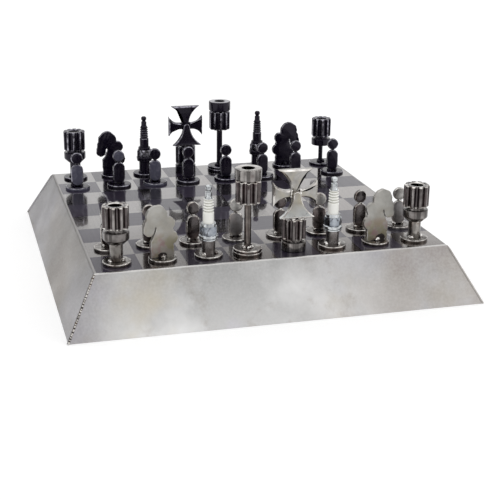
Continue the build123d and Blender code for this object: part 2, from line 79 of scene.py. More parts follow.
# Place, width, height and grey of each dark card, and the fades of one
CARDS = {
    "front_card": ((-0.2, -2.4, 0.2), 3.2, 0.6, 0.32),
    "left_card": ((-1.8, 0.5, 0.35), 2.6, 0.9, 0.05),
    "far_card": ((-1.3, 2.0, 0.25), 2.4, 0.6, 0.05),
    "high_card": ((1.0, 2.4, 1.205), 2.6, 0.48, 0.22, (0.08, 1.3)),
}

# Sizes shared by the men, in millimetres
MM = 0.001
SQUARES_A_SIDE = 8
FOOT_D = 28.0
FOOT_HOLE_D = 8.4
FOOT_THICKNESS = 3.0
FOOT_SWELL = 0.12              # how far a stamped washer is from flat
FOOT_UNROUND = 0.006           # and from round, as a share of its size
FOOT_SWELL_WAVE = 0.12         # waves of both in a millimetre
FOOT_UNROUND_WAVE = 0.07
ROD_CLEARANCE = 0.7
EDGE_ROUND = 0.7
TURNED_POINTS = 72             # points round a turned piece
CORNER_STEPS = 4               # steps round a rounded corner
CORNER_LIMIT = 0.48            # share of a side that a rounded corner may take
PLATE_SPACING = 0.9            # between the points along the edge of a plate
WOBBLE = 0.18                  # how far a flame-cut edge wanders
SLOW_WAVE = 0.25               # waves of a flame-cut edge in a millimetre
QUICK_WAVE = 0.9
QUICK_SHARE = 0.5
FAR_CROSSING = 2.5             # lines that meet farther off than this count as parallel
KEPT_SHARE = 0.93              # share of an inset that a point has to keep from the outline

# Welds
BEAD_RADIUS = 2.3
BEAD_LUMP = 0.28               # unevenness of a weld as shares of its size
BEAD_RIPPLE = 0.05
BEAD_LUMP_WAVE = 1.7           # how quickly both change over a weld
BEAD_RIPPLE_WAVE = 7.0
BEAD_POINTS = 20               # points round a weld
BEAD_ROWS = 11
BEAD_OUT = 0.75                # middle of a foot weld outside its rod and above the washer
BEAD_UP = 0.6

# Finish numbers of the faces of a man
PLAIN = 0                      # the piece itself
WELD = 1
DARK = 2                       # slugs, gear flanks, washer sides, thin rods and threads; on gears it is painted shade
WORN = 3                       # rubbed edges, painted brighter as glints
LAND = 4                       # tips of teeth, flats of a hexagon and heads of pawns; tips of teeth are painted lighter, and on black men other than pawns this is a painted glint

# Pawn
SLUG_WIDTH = 14.0
SLUG_HEIGHT = 25.6
SLUG_THICKNESS = 4.0
SLUG_WOBBLE = 0.1
SLUG_EDGE = 1.0
PAWN_HEAD_D = 13.6
WELD_GAP = 0.4
PAWN_WELD_SPREAD = 4.4

# Starter pinions
ROOK_PINION = {"gear_d": 25.8, "gear_height": 23.0, "groove": 2.6, "collar_d": 25.4, "collar_height": 7.6,
               "cone_height": 4.6, "cone_foot_d": 16.0}
LEAN_PINION = {"gear_d": 24.2, "gear_height": 23.0, "groove": 2.6, "collar_d": 23.6, "collar_height": 8.2}
QUEEN_PINION = {"gear_d": 25.4, "gear_height": 22.5, "groove": 1.2, "collar_d": 26.4, "collar_height": 10.8}
KING_PINION = {"gear_d": 24.6, "gear_height": 22.0, "groove": 1.6, "collar_d": 24.8, "collar_height": 9.4}
TEETH = 10
TOOTH_STEPS = (0.0, 0.1, 0.19, 0.26, 0.32, 0.40, 0.50, 0.60, 0.69, 0.76, 0.84, 0.92)
TOOTH_TIP = 0.27               # half widths of tip and root as shares of half a tooth pitch
TOOTH_ROOT = 0.78
TOOTH_DEPTH = 3.4
TOOTH_CROWN = 0.12
TOOTH_CHAMFER = 1.3
TOOTH_DIP = 0.25               # how far the ends of the flanks are rubbed down
CHAMFER_STEPS = (0.0, 0.35, 0.7, 1.0)
GROOVE_DEPTH = 0.8
PINION_BORE_D = 13.0
BORE_CHAMFER = 0.9
ROD_GRIP = 14.0
PLUG_RECESS = 0.4

# Rook and queen
SHANK_D = 12.6
ROOK_SHANK_HEIGHT = 17.5
LEAN_ROD_D = 5.4
LEAN_ROD_HEIGHT = 22.0
QUEEN_FOOT_D = 29.5
QUEEN_FOOT_STEP = 0.8          # how much smaller the upper washer is
QUEEN_FEET = 2
QUEEN_ROD_D = 7.0
QUEEN_ROD_HEIGHT = 45.5

# King
CROSS_THICKNESS = 6.5
CROSS_BEVEL = 1.6
CROSS_WAIST = 8.0
CROSS_UP = 24.5
CROSS_DOWN = 24.5
CROSS_SIDE = {"silver": 22.6, "black": 20.8}
CROSS_UP_END = 36.0
CROSS_DOWN_END = 36.0
CROSS_SIDE_END = 25.0
ARM_HOLLOW = 3.2
LOWER_ARM_BEND = 120.0
LOWER_ARM_EDGE = 1.1
HEEL_GAP = 2.4
HEEL_SPREAD = 4.2
HUB_WELDS = 3                  # on each side of the hub
HUB_WELD_STEP = 2.8

# Bishop
PLUG_THREAD_D = 13.2
PLUG_THREAD_LENGTH = 14.2
THREAD_PITCH = 1.25
THREAD_STEPS = 6               # rings in one turn of the thread
THREAD_RUNOUT = (6, 9)         # rings over which the thread fades out, below and above
THREAD_DEPTH = 0.12            # worn thread, filled with lacquer
PLUG_FLANGE_D = 19.0
PLUG_FLANGE_HEIGHT = 5.6
PLUG_HEX = 16.0
PLUG_HEX_HEIGHT = 8.2
PLUG_CRIMP_D = 14.4
PLUG_CRIMP_HEIGHT = 3.2
INSULATOR_D = 10.8
INSULATOR_HEIGHT = 24.0
INSULATOR_SEAT = 9.0
INSULATOR_TOP_D = 9.6
RIBS = 5
RIB_PITCH = 2.7
RIB_DEPTH = 1.1
RIB_TAPER = 0.6                # how much slimmer the ribs get towards the top
TERMINAL_SKIRT_D = 8.0
TERMINAL_SKIRT_HEIGHT = 2.2
TERMINAL_BARREL_D = 6.4
TERMINAL_BARREL_HEIGHT = 4.6
TERMINAL_WAIST_D = 4.4
TERMINAL_WAIST_HEIGHT = 1.5
TERMINAL_KNOB_D = 6.4
TERMINAL_KNOB_HEIGHT = 5.0
TERMINAL_POINTS = 48

# Knight, looking along +X, heights above the foot washer
KNIGHT_THICKNESS = 4.0
HEAD_CENTRE = (5.8, 41.6)
HEAD_RADIUS = 10.7
MUZZLE_TOP = (12.8, 35.2)
MUZZLE_END = (14.0, 27.6)
MUZZLE_RADIUS = 5.6
CREST_CENTRE = (-5.9, 33.0)
CREST_RADIUS = 6.8
SADDLE = (-11.6, 26.0)
MANE_CENTRE = (-8.2, 18.6)
MANE_RADIUS = 7.1
KNIGHT_FOOT_BACK = -11.4
KNIGHT_FOOT_FRONT = 12.3
CHEST = (12.6, 9.5)
BREAST = (12.4, 17.5)
THROAT = (6.4, 31.0)
JAW = (7.3, 31.4)
BACK_HOLLOW = (-11.2, 11.0)
KNIGHT_WOBBLE = 0.7            # how far the outline of a horse head wanders
KNIGHT_EDGE = 0.55
KNIGHT_SPACING = 0.75
KNIGHT_WELD_SPREAD = 9.6
PATCH_FILM = 0.04
PATCH_POINTS = 28
PATCH_RAGGED = 0.35
PATCH_MIDDLE = 0.4            # middle of a dark patch as a share of its height
# How hollow the throat of each knight is, and the middle, width and height of its dark patch
KNIGHT_CUTS = {"b1": (0.7, (0.6, 9.0, 5.0)), "g1": (0.5, (5.0, 11.0, 6.0)),
               "b8": (1.4, None), "g8": (1.2, None)}

# How each man is turned on its square, in degrees
TURN = {
    "a1": 0, "b1": 190, "c1": 12, "d1": 5, "e1": 0, "f1": -8, "g1": 10, "h1": 14,
    "a2": 4, "b2": -6, "c2": 5, "d2": -9, "e2": 3, "f2": -12, "g2": 6, "h2": -4,
    "a7": -4, "b7": 3, "c7": -7, "d7": 6, "e7": -3, "f7": 8, "g7": 5, "h7": -5,
    "a8": 9, "b8": 180, "c8": 10, "d8": 0, "e8": 12, "f8": 4, "g8": 3, "h8": 7,
}
LEAN_ROOK_SQUARE = "h8"
PALE_BODIES = ("d2", "h2")             # silver pawns whose slugs are brighter than the others
PALE_HEADS = ("d2", "f2", "h2")
PAINTED_SHEEN_BODIES = ("a7", "c7")            # black pawns whose slugs carry a painted sheen of lighter blue grey
PAINTED_SHEEN_HEADS = ("b7",)
SHARP_ANGLE = 38.0                     # edges that turn more than this stay crisp

# Board
SEAM_RADIUS = 1.3
SEAM_BEAD = 1.25               # the rippled seam is a finer bead
SEAM_RIPPLE = 2.6              # length of one ripple of a corner seam
SEAM_STRAY = 1.5               # how far the ripples stray from an even spacing
SEAM_STRAY_WAVE = 0.37         # waves of that in a ripple
SEAM_SLIM = 0.85               # radius of the rippled seam between its ripples, as a share
SEAM_SWELL = 0.25              # what a ripple and an uneven lump add to it
SEAM_LUMP = 0.2
SEAM_LUMP_WAVE = 0.4
SEAM_CREST = 0.62              # share of a ripple that carries a painted glint, half way up
SEAM_CREST_RISE = 0.3          # how much more of it carries the painted glint at the top than at the foot
SEAM_CREST_STRAY = 0.5
SEAM_CREST_WAVE = 0.3
SEAM_LIT_FROM = -0.1           # cosine where the lit side of the seam, with its painted glints, starts
SEAM_GROUND = 0.75             # what grinding leaves of a smooth seam
SEAM_TAPER = 6.0               # over this length a smooth seam runs out into the fold
SEAM_TIP = 0.2                 # share of its radius left at the very end
SEAM_TOP_OUT = 0.0017          # upper end of a seam outside the deck plate, in metres
SEAM_STEP = 0.4
SEAM_POINTS = 12               # points round a seam
SEAM_BURNT = 1                 # finishes of a seam, after its plain one; the second is a painted glint
SEAM_GLINT = 2

BOARD_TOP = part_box("deck_plate")[1].z
SQUARE = (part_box("light_squares")[1].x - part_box("light_squares")[0].x) / SQUARES_A_SIDE


class Shape:
    """Vertices and faces of one piece in millimetres, with a finish number on each face."""

    def __init__(self, *parts):
        self.points = []
        self.faces = []
        self.finishes = []
        self.join(*parts)

    def add(self, points, faces, finish=PLAIN):
        start = len(self.points)
        self.points.extend(Vector(point) for point in points)
        self.faces.extend([start + corner for corner in face] for face in faces)
        self.finishes.extend([finish] * len(faces))

    def join(self, *parts):
        """Takes in other shapes."""
        for part in parts:
            start = len(self.points)
            self.points.extend(part.points)
            self.faces.extend([start + corner for corner in face] for face in part.faces)
            self.finishes.extend(part.finishes)

    def moved(self, change):
        """Every point changed by a function."""
        self.points = [Vector(change(point)) for point in self.points]
        return self

    def raised(self, height):
        return self.moved(lambda point: point + Vector((0, 0, height)))


def skin(rings, finish=PLAIN, joined=False, rows=None):
    """Shape over rings of equal length: joined closes it like a tyre, else both ends are capped.

    A row is the band of faces after the ring of that number; rows gives some of them other finishes,
    one for the whole band or a list with one for each face.
    """
    count = len(rings[0])
    last = len(rings) - 1
    faces = []
    for lower in range(last + 1 if joined else last):
        upper = (lower + 1) % len(rings)
        for corner in range(count):
            beside = (corner + 1) % count
            faces.append((lower * count + corner, lower * count + beside,
                          upper * count + beside, upper * count + corner))
    if not joined:
        faces.append(tuple(reversed(range(count))))
        faces.append(tuple(range(last * count, len(rings) * count)))
    shape = Shape()
    shape.add([point for ring_points in rings for point in ring_points], faces, finish)
    for row, other in (rows or {}).items():
        first = row * count
        shape.finishes[first:first + count] = other if isinstance(other, list) else [other] * count
    return shape


def rounded(corners, closed=False):
    """Outline through (x, y, radius) corners with each corner rounded."""
    outline = []
    count = len(corners)
    for number, (x, y, radius) in enumerate(corners):
        here = Vector((x, y))
        inside = closed or 0 < number < count - 1
        if radius == 0 or not inside:
            outline.append(here)
            continue
        before = Vector(corners[number - 1][:2]) - here
        after = Vector(corners[(number + 1) % count][:2]) - here
        reach = min(radius, CORNER_LIMIT * before.length, CORNER_LIMIT * after.length)
        start = here + before.normalized() * reach
        end = here + after.normalized() * reach
        for step in range(CORNER_STEPS + 1):
            share = step / CORNER_STEPS
            outline.append((1 - share) ** 2 * start + 2 * share * (1 - share) * here + share ** 2 * end)
    return outline


def arc(centre, radius, start, end, step=6.0):
    """Points on an arc between two angles in degrees, clockwise only where the end is less than 0."""
    if 0 <= end < start:
        end += 360
    count = max(2, ceil(abs(end - start) / step))
    angles = [radians(start + (end - start) * number / count) for number in range(count + 1)]
    return [Vector((centre[0] + radius * cos(turn), centre[1] + radius * sin(turn))) for turn in angles]


def bowed(start, end, bow, steps=14):
    """Points on a shallow curve that leaves the straight line by bow at its middle, left if positive."""
    start, end = Vector(start), Vector(end)
    run = end - start
    side = Vector((-run.y, run.x)).normalized()
    shares = [step / steps for step in range(steps + 1)]
    return [start + run * share + side * (4 * bow * share * (1 - share)) for share in shares]


def respaced(outline, spacing):
    """Closed outline with its points evenly spaced."""
    loop = outline + [outline[0]]
    lengths = [0.0]
    for here, there in zip(loop, loop[1:]):
        lengths.append(lengths[-1] + (there - here).length)
    count = ceil(lengths[-1] / spacing)
    points = []
    span = 0
    for number in range(count):
        target = lengths[-1] * number / count
        while lengths[span + 1] < target:
            span += 1
        share = (target - lengths[span]) / max(lengths[span + 1] - lengths[span], 1e-9)
        points.append(loop[span].lerp(loop[span + 1], share))
    return points


def outward(outline):
    """Unit normals of a closed outline that runs anticlockwise."""
    normals = []
    for number in range(len(outline)):
        along = outline[(number + 1) % len(outline)] - outline[number - 1]
        normals.append(Vector((along.y, -along.x)).normalized())
    return normals


def anticlockwise(outline):
    area = sum(a.x * b.y - b.x * a.y for a, b in zip(outline, outline[1:] + outline[:1]))
    return outline if area > 0 else outline[::-1]


def crossing(first, first_way, second, second_way):
    """Where two lines meet, or half way between their starts if they meet far off."""
    middle = (first + second) / 2
    turn = first_way.x * second_way.y - first_way.y * second_way.x
    if abs(turn) < 1e-6:
        return middle
    run = second - first
    meet = first + first_way * ((run.x * second_way.y - run.y * second_way.x) / turn)
    return meet if (meet - middle).length < FAR_CROSSING else middle


def drawn_in(outline, normals, distance):
    """Outline moved inwards; where a tight corner would make it cross itself, its points gather in one."""
    moved = [point - normal * distance for point, normal in zip(outline, normals)]
    kept = [min((spot - point).length for point in outline) >= KEPT_SHARE * distance for spot in moved]
    count = len(moved)
    for number in range(count):
        if kept[number]:
            continue
        before, after = number, number
        while not kept[before % count]:
            before -= 1
        while not kept[after % count]:
            after += 1
        first, second = moved[before % count], moved[after % count]
        first_way = first - moved[(before - 1) % count]
        second_way = second - moved[(after + 1) % count]
        moved[number] = crossing(first, first_way, second, second_way)
    return moved


def drift(point, frequency, seed):
    """Smooth random value between -1 and 1 over X and Y."""
    return noise.noise(Vector((point.x * frequency, point.y * frequency, seed)))


def plate(outline, thickness, seed, wobble=WOBBLE, edge=EDGE_ROUND, spacing=PLATE_SPACING, bevel=0.0,
          finish=PLAIN):
    """Upright plate of an outline in X and Z, centred on y = 0, with a worn, slightly wandering edge.

    The edge is rounded, or bevelled at the front, and both take the finish of worn edges, painted brighter as
    glints.
    """
    outline = respaced(anticlockwise(outline), spacing)
    normals = outward(outline)
    cut = []
    for point, normal in zip(outline, normals):
        wander = drift(point, SLOW_WAVE, seed) + QUICK_SHARE * drift(point, QUICK_WAVE, seed + 7)
        cut.append(point + normal * wobble * wander)
    half = thickness / 2
    turns = [radians(90 * step / CORNER_STEPS) for step in range(CORNER_STEPS + 1)]
    back = [(edge * (1 - sin(turn)), half - edge * (1 - cos(turn))) for turn in turns]
    front = [(0.0, half - bevel), (bevel, half)] if bevel else back[::-1]
    steps = back + [(inset, -depth) for inset, depth in front]
    rings = [[(p.x, depth, p.y) for p in drawn_in(cut, normals, inset)] for inset, depth in steps]
    wall = len(back) - 1
    return skin(rings, finish, rows={row: WORN for row in range(len(steps) - 1) if row != wall})


def circle(count):
    """Angles evenly spaced round a full turn."""
    return [2 * pi * number / count for number in range(count)]


def ring(places, radius, height):
    """Ring round Z through (angle, place) pairs; its radius is a number or a function of the place."""
    points = []
    for turn, place in places:
        reach = radius(place) if callable(radius) else radius
        points.append((reach * cos(turn), reach * sin(turn), height))
    return points


def turned(profile, finish=PLAIN, joined=False, rows=None, count=TURNED_POINTS):
    """Shape turned round Z through (radius, height) points."""
    places = [(turn, turn) for turn in circle(count)]
    return skin([ring(places, *point) for point in profile], finish, joined, rows)


def washer(diameter, hole_d, seed):
    """Stamped washer: rolled edge above, a small burr below, and a face that isn't quite flat."""
    outer, inner, top = diameter / 2, hole_d / 2, FOOT_THICKNESS
    profile = rounded([(inner, 0, 0.3), (outer, 0, 0.3), (outer, top, 0.9), (inner, top, 0.8)], closed=True)
    corner = len(profile) // 4
    # Sides and underside take the darker finish, the rolled edge the worn one with its painted glints
    rows = {row: DARK if row < 2 * corner else WORN for row in range(3 * corner - 1)}

    def wave(point):
        lift = FOOT_SWELL * drift(point, FOOT_SWELL_WAVE, seed) * point.z / top
        size = 1 + FOOT_UNROUND * drift(point, FOOT_UNROUND_WAVE, seed + 3)
        return point.x * size, point.y * size, point.z + lift

    return turned(profile, joined=True, rows=rows).moved(wave)


def weld(centre, size, seed, stretch=(1.0, 1.0, 1.0), turn=0.0):
    """Lump of weld metal with ripples and pits."""
    rings = []
    spin = Matrix.Rotation(turn, 3, "Z")
    for row in range(BEAD_ROWS):
        tilt = pi * (row + 0.5) / BEAD_ROWS
        points = []
        for angle in circle(BEAD_POINTS):
            ray = Vector((sin(tilt) * cos(angle), sin(tilt) * sin(angle), -cos(tilt)))
            lump = BEAD_LUMP * noise.noise(ray * BEAD_LUMP_WAVE + Vector((seed, 0, 0)))
            reach = size * (1 + lump + BEAD_RIPPLE * sin(ray.x * BEAD_RIPPLE_WAVE + seed))
            spot = Vector([part * wide for part, wide in zip(ray, stretch)]) * reach
            points.append(spin @ spot + Vector(centre))
        rings.append(points)
    return skin(rings, WELD)


def rod_welds(reach, height, seed, turns=(90, 205, 335), size=BEAD_RADIUS):
    """Lumps of weld round the foot of a rod."""
    shape = Shape()
    out = reach + BEAD_OUT
    for number, turn in enumerate(map(radians, turns)):
        centre = (out * cos(turn), out * sin(turn), height + BEAD_UP)
        shape.join(weld(centre, size, seed + number, (0.85, 1.25, 0.85), turn))
    return shape


def slug(width, height, middle, seed, finish):
    """Upright punched slug with round ends and a soft rim."""
    radius = width / 2
    straight = height / 2 - radius
    outline = arc((0, middle + straight), radius, 0, 180) + arc((0, middle - straight), radius, 180, 360)
    return plate(outline, SLUG_THICKNESS, seed, SLUG_WOBBLE, SLUG_EDGE, finish=finish)


def pawn(seed):
    """Washer, slug and round head with their welds."""
    neck = FOOT_THICKNESS + SLUG_HEIGHT
    shape = Shape(washer(FOOT_D, FOOT_HOLE_D, seed),
                  slug(SLUG_WIDTH, SLUG_HEIGHT, FOOT_THICKNESS + SLUG_HEIGHT / 2, seed + 1, DARK),
                  slug(PAWN_HEAD_D, PAWN_HEAD_D, neck + WELD_GAP + PAWN_HEAD_D / 2, seed + 2, LAND),
                  weld((0.2, 0, neck + WELD_GAP / 2), 2.0, seed + 3, (1.0, 1.25, 0.8)))
    for side in (-1, 1):
        foot = (side * PAWN_WELD_SPREAD, 0.0, FOOT_THICKNESS + 0.9)
        shape.join(weld(foot, 1.9, seed + 4 + side, (1.0, 1.45, 0.9)))
    return {"": shape}


def tooth_angles():
    """Angles of the points round a toothed ring, closer on the flanks, and their place on the tooth."""
    places = []
    pitch = 2 * pi / TEETH
    for tooth in range(TEETH):
        start = tooth * pitch
        places += [(start + step * pitch / 2, step) for step in TOOTH_STEPS]
        places.append((start + pitch / 2, 1.0))
        places += [(start + pitch - step * pitch / 2, step) for step in reversed(TOOTH_STEPS[1:])]
    return places


def tooth_radius(place, tip, root):
    """Radius of the gear's outline at a place on the tooth: 0 is its middle, 1 the middle of the gap."""
    share = min(max((place - TOOTH_TIP) / (TOOTH_ROOT - TOOTH_TIP), 0.0), 1.0)
    fall = share * share * (3 - 2 * share)
    crown = TOOTH_CROWN * min(place / TOOTH_TIP, 1.0) ** 2
    return tip - crown - (tip - root - crown) * fall


def pinion(gear_d, gear_height, groove, collar_d, collar_height, cone_height=0.0, cone_foot_d=None):
    """Starter pinion standing on its collar: collar, groove, chamfered teeth and a bore from end to end."""
    tip, collar, bore = gear_d / 2, collar_d / 2, PINION_BORE_D / 2
    root = tip - TOOTH_DEPTH
    neck = root - GROOVE_DEPTH
    collar_top = cone_height + collar_height
    gear_foot = collar_top + groove
    top = gear_foot + gear_height
    corners = [(bore, 0, 0), ((cone_foot_d or collar_d) / 2, 0, 0.8)]
    if cone_height:
        corners.append((collar, cone_height, 1.0))
    corners += [(collar, collar_top, 0.8), (neck, collar_top, 0.4), (neck, gear_foot, 0)]
    places = tooth_angles()
    rings = [ring(places, *point) for point in rounded(corners)]
    first = len(rings) - 1
    stations = [(gear_foot + TOOTH_CHAMFER * step, step) for step in CHAMFER_STEPS]
    stations += [(top - TOOTH_CHAMFER * step, step) for step in reversed(CHAMFER_STEPS)]
    for height, step in stations:
        limit = tip - TOOTH_CHAMFER * (1 - step) ** 1.5
        dip = TOOTH_DIP * (1 - step)
        rings.append(ring(places, lambda place: min(tooth_radius(place, tip, root) - dip, limit), height))
    mouth = bore + BORE_CHAMFER
    inner = ((mouth + 0.3, top), (mouth, top - 0.2), (bore, top - BORE_CHAMFER), (bore, 0))
    rings += [ring(places, *point) for point in inner]
    # Tips of teeth lighter; flanks, gaps, both gear ends and the bore take painted shade
    flanks = []
    for (_, here), (_, there) in zip(places, places[1:] + places[:1]):
        flanks.append(LAND if (here + there) / 2 < TOOTH_TIP else DARK)
    flank = first + len(CHAMFER_STEPS)
    end_face = flank + len(CHAMFER_STEPS)
    bore_wall = len(rings) - 2
    rows = {row: WORN for row in range(first, len(rings) - 1)}
    rows.update({0: WORN, first: DARK, flank: flanks, end_face: DARK, bore_wall: DARK})
    return skin(rings, joined=True, rows=rows), top


def rod(diameter, start, end, finish):
    """Straight rod with broken edges."""
    radius = diameter / 2
    inner = 0.4 * radius
    corners = [(inner, start, 0), (radius, start, 0.3), (radius, end, 0.4), (inner, end, 0)]
    return turned(rounded(corners), finish)


def pinion_plug(rod_d, height):
    """Bush that holds a thin rod in the bore of its pinion."""
    inner, outer = rod_d / 2, PINION_BORE_D / 2
    low, high = height + PLUG_RECESS, height + ROD_GRIP
    return turned([(inner, low), (outer, low), (outer, high), (inner, high)], joined=True)


def rook(seed):
    """Pinion on a shank that stands on a washer."""
    under = FOOT_THICKNESS + ROOK_SHANK_HEIGHT
    foot = Shape(washer(FOOT_D, FOOT_HOLE_D, seed),
                 rod(SHANK_D, FOOT_THICKNESS, under + ROD_GRIP, PLAIN),
                 rod_welds(SHANK_D / 2, FOOT_THICKNESS, seed),
                 rod_welds(SHANK_D / 2, under - 0.6, seed + 5, (262, 30), 1.3))
    return {"foot": foot, "pinion": pinion(**ROOK_PINION)[0].raised(under)}


def lean_rook(seed):
    """The rook on a thin rod through its washer."""
    under = FOOT_THICKNESS + LEAN_ROD_HEIGHT
    foot = Shape(washer(FOOT_D, LEAN_ROD_D + 2 * ROD_CLEARANCE, seed),
                 rod(LEAN_ROD_D, 0, under + ROD_GRIP, DARK),
                 rod_welds(LEAN_ROD_D / 2, FOOT_THICKNESS, seed),
                 pinion_plug(LEAN_ROD_D, under))
    return {"foot": foot, "pinion": pinion(**LEAN_PINION)[0].raised(under)}


def queen(seed):
    """Upside-down pinion on a rod through two stacked washers."""
    head, top = pinion(**QUEEN_PINION)
    foot_top = QUEEN_FEET * FOOT_THICKNESS
    under = foot_top + QUEEN_ROD_HEIGHT
    stand = Shape()
    for level in range(QUEEN_FEET):
        foot = washer(QUEEN_FOOT_D - QUEEN_FOOT_STEP * level, QUEEN_ROD_D + 2 * ROD_CLEARANCE, seed + level)
        stand.join(foot.raised(level * FOOT_THICKNESS))
    stand.join(rod(QUEEN_ROD_D, 0, under + ROD_GRIP, DARK),
               pinion_plug(QUEEN_ROD_D, under),
               rod_welds(QUEEN_ROD_D / 2, foot_top, seed, (80, 190, 285, 350)),
               rod_welds(QUEEN_ROD_D / 2, under - 0.8, seed + 6, (300, 60), 1.2))
    head.moved(lambda point: (point.x, -point.y, under + top - point.z))
    return {"stand": stand, "pinion": head}


def flared_arm(foot, length, end, root=None):
    """Outline of a cross arm along +Y, from a waist at the foot to a wide end, with hollow sides.

    A root lower than the foot adds a straight stub as wide as the waist.
    """
    waist, half = CROSS_WAIST / 2, end / 2
    left = bowed((-waist, foot), (-half, length), -ARM_HOLLOW)
    right = bowed((half, length), (waist, foot), -ARM_HOLLOW)
    corners = [(p.x, p.y, 0.0) for p in left[:-1]] + [(-half, length, 1.0), (half, length, 1.0)]
    corners += [(p.x, p.y, 0.0) for p in right[1:]]
    if root is not None:
        corners += [(waist, root, 0.6), (-waist, root, 0.6)]
    return rounded(corners, closed=True)


def turned_outline(outline, angle, height):
    """Outline turned about the origin and lifted."""
    turn = Matrix.Rotation(radians(angle), 2)
    return [turn @ point + Vector((0, height)) for point in outline]


def cross(middle, seed, side_reach):
    """Four flared plates welded into a cross: the lower arm lies in front and sweeps forward."""
    waist = CROSS_WAIST / 2
    upper = flared_arm(waist, CROSS_UP, CROSS_UP_END, -waist)
    side = flared_arm(waist, side_reach, CROSS_SIDE_END)
    shape = Shape()
    for number, (arm, angle) in enumerate(((upper, 0), (side, 90), (side, -90))):
        outline = turned_outline(arm, angle, middle)
        shape.join(plate(outline, CROSS_THICKNESS, seed + number, bevel=CROSS_BEVEL))
    shape.join(lower_arm(middle, seed + 4), cross_welds(middle, seed + 10))
    return shape


def cross_welds(middle, seed):
    """Welds beside the hub, at the back of it, and two that hold the lower arm above the gear."""
    waist = CROSS_WAIST / 2
    front = -CROSS_THICKNESS / 2
    sweep = arm_sweep(CROSS_DOWN - HEEL_GAP)
    shape = Shape()
    for side in (-1, 1):
        for step in range(HUB_WELDS):
            spot = (side * (waist + 0.5), front - 0.7, middle - 2.0 + HUB_WELD_STEP * step)
            shape.join(weld(spot, 1.4, seed + 10 * step + side, (0.9, 0.8, 1.2)))
        heel = (side * HEEL_SPREAD, 2 * front - sweep, middle - CROSS_DOWN + 0.9)
        shape.join(weld(heel, BEAD_RADIUS, seed + 40 + side, (1.2, 0.9, 0.8)))
        back = (side * (waist + 0.3), -front + 0.2, middle + 1.0)
        shape.join(weld(back, 1.5, seed + 50 + side, (0.8, 0.6, 1.8)))
    return shape


def arm_sweep(drop):
    """How far the lower arm has swept forward at a distance below the hub."""
    return LOWER_ARM_BEND - sqrt(LOWER_ARM_BEND ** 2 - drop ** 2)


def lower_arm(middle, seed):
    """Lower arm of the cross with a round top, bent forward towards the gear."""
    arm = flared_arm(0, CROSS_DOWN - HEEL_GAP, CROSS_DOWN_END)
    cap = arc((0, 0), CROSS_WAIST / 2, 0, -180)
    outline = turned_outline([point for point in arm if point.y > 0.01] + cap, 180, middle)

    def bend(point):
        sweep = arm_sweep(max(middle - point.z, 0.0))
        return point.x, point.y - CROSS_THICKNESS - sweep, point.z

    return plate(outline, CROSS_THICKNESS, seed, edge=LOWER_ARM_EDGE).moved(bend)


def king(seed, colour):
    """Pinion on its collar with the cross welded on top."""
    base, top = pinion(**KING_PINION)
    return {"pinion": base, "cross": cross(top + CROSS_DOWN, seed, CROSS_SIDE[colour])}


def hex_radius(turn, flats):
    """Distance to the side of a hexagon at an angle."""
    sector = pi / 3
    return flats / 2 / cos((turn % sector) - sector / 2)


def thread_radius(turn, height, fade):
    """Radius of the plug's thread at an angle and a height; at fade 0 it is a plain shank."""
    phase = (height / THREAD_PITCH - turn / (2 * pi)) % 1.0
    return PLUG_THREAD_D / 2 - THREAD_DEPTH * fade * abs(2 * phase - 1)


def plug_shell():
    """Spark-plug shell: rolled thread, gasket, flange, chamfered hexagon and crimp."""
    flange = FOOT_THICKNESS + PLUG_THREAD_LENGTH
    hexagon = flange + PLUG_FLANGE_HEIGHT
    crimp = hexagon + PLUG_HEX_HEIGHT
    top = crimp + PLUG_CRIMP_HEIGHT
    bore = INSULATOR_D / 2 + 0.2
    thread, outer, lip = PLUG_THREAD_D / 2, PLUG_FLANGE_D / 2, PLUG_CRIMP_D / 2
    gasket = outer - 0.4
    places = [(turn, turn) for turn in circle(TURNED_POINTS)]
    rings = []
    steps = ceil(PLUG_THREAD_LENGTH / THREAD_PITCH * THREAD_STEPS)
    for step in range(steps + 1):
        height = FOOT_THICKNESS + PLUG_THREAD_LENGTH * step / steps
        fade = min(1.0, step / THREAD_RUNOUT[0], (steps - step) / THREAD_RUNOUT[1])
        rings.append(ring(places, lambda turn: thread_radius(turn, height, fade), height))
    collar = rounded([(thread, flange, 0), (gasket, flange, 0.7), (gasket, flange + 1.7, 0.5),
                      (outer - 1.6, flange + 1.9, 0.2), (outer, flange + 2.3, 0.5),
                      (outer, hexagon - 0.6, 0.6), (PLUG_HEX / 2, hexagon, 0)])
    rings += [ring(places, *point) for point in collar]
    first_flat = len(rings)
    for height, cut in ((hexagon + 0.05, 0.9), (hexagon + 0.9, 0.0), (crimp - 1.2, 0.0), (crimp, 1.3)):
        limit = PLUG_HEX / 2 / cos(pi / 6) - cut
        rings.append(ring(places, lambda turn: min(hex_radius(turn, PLUG_HEX) - 0.02, limit), height))
    crimped = rounded([(lip, crimp, 0), (lip, top, 1.4), (bore, top, 0.5), (bore, top - INSULATOR_SEAT, 0)])
    rings += [ring(places, *point) for point in crimped]
    rows = {row: DARK for row in range(steps)}
    rows.update({row: LAND for row in range(first_flat, first_flat + 3)})
    return skin(rings, rows=rows), top


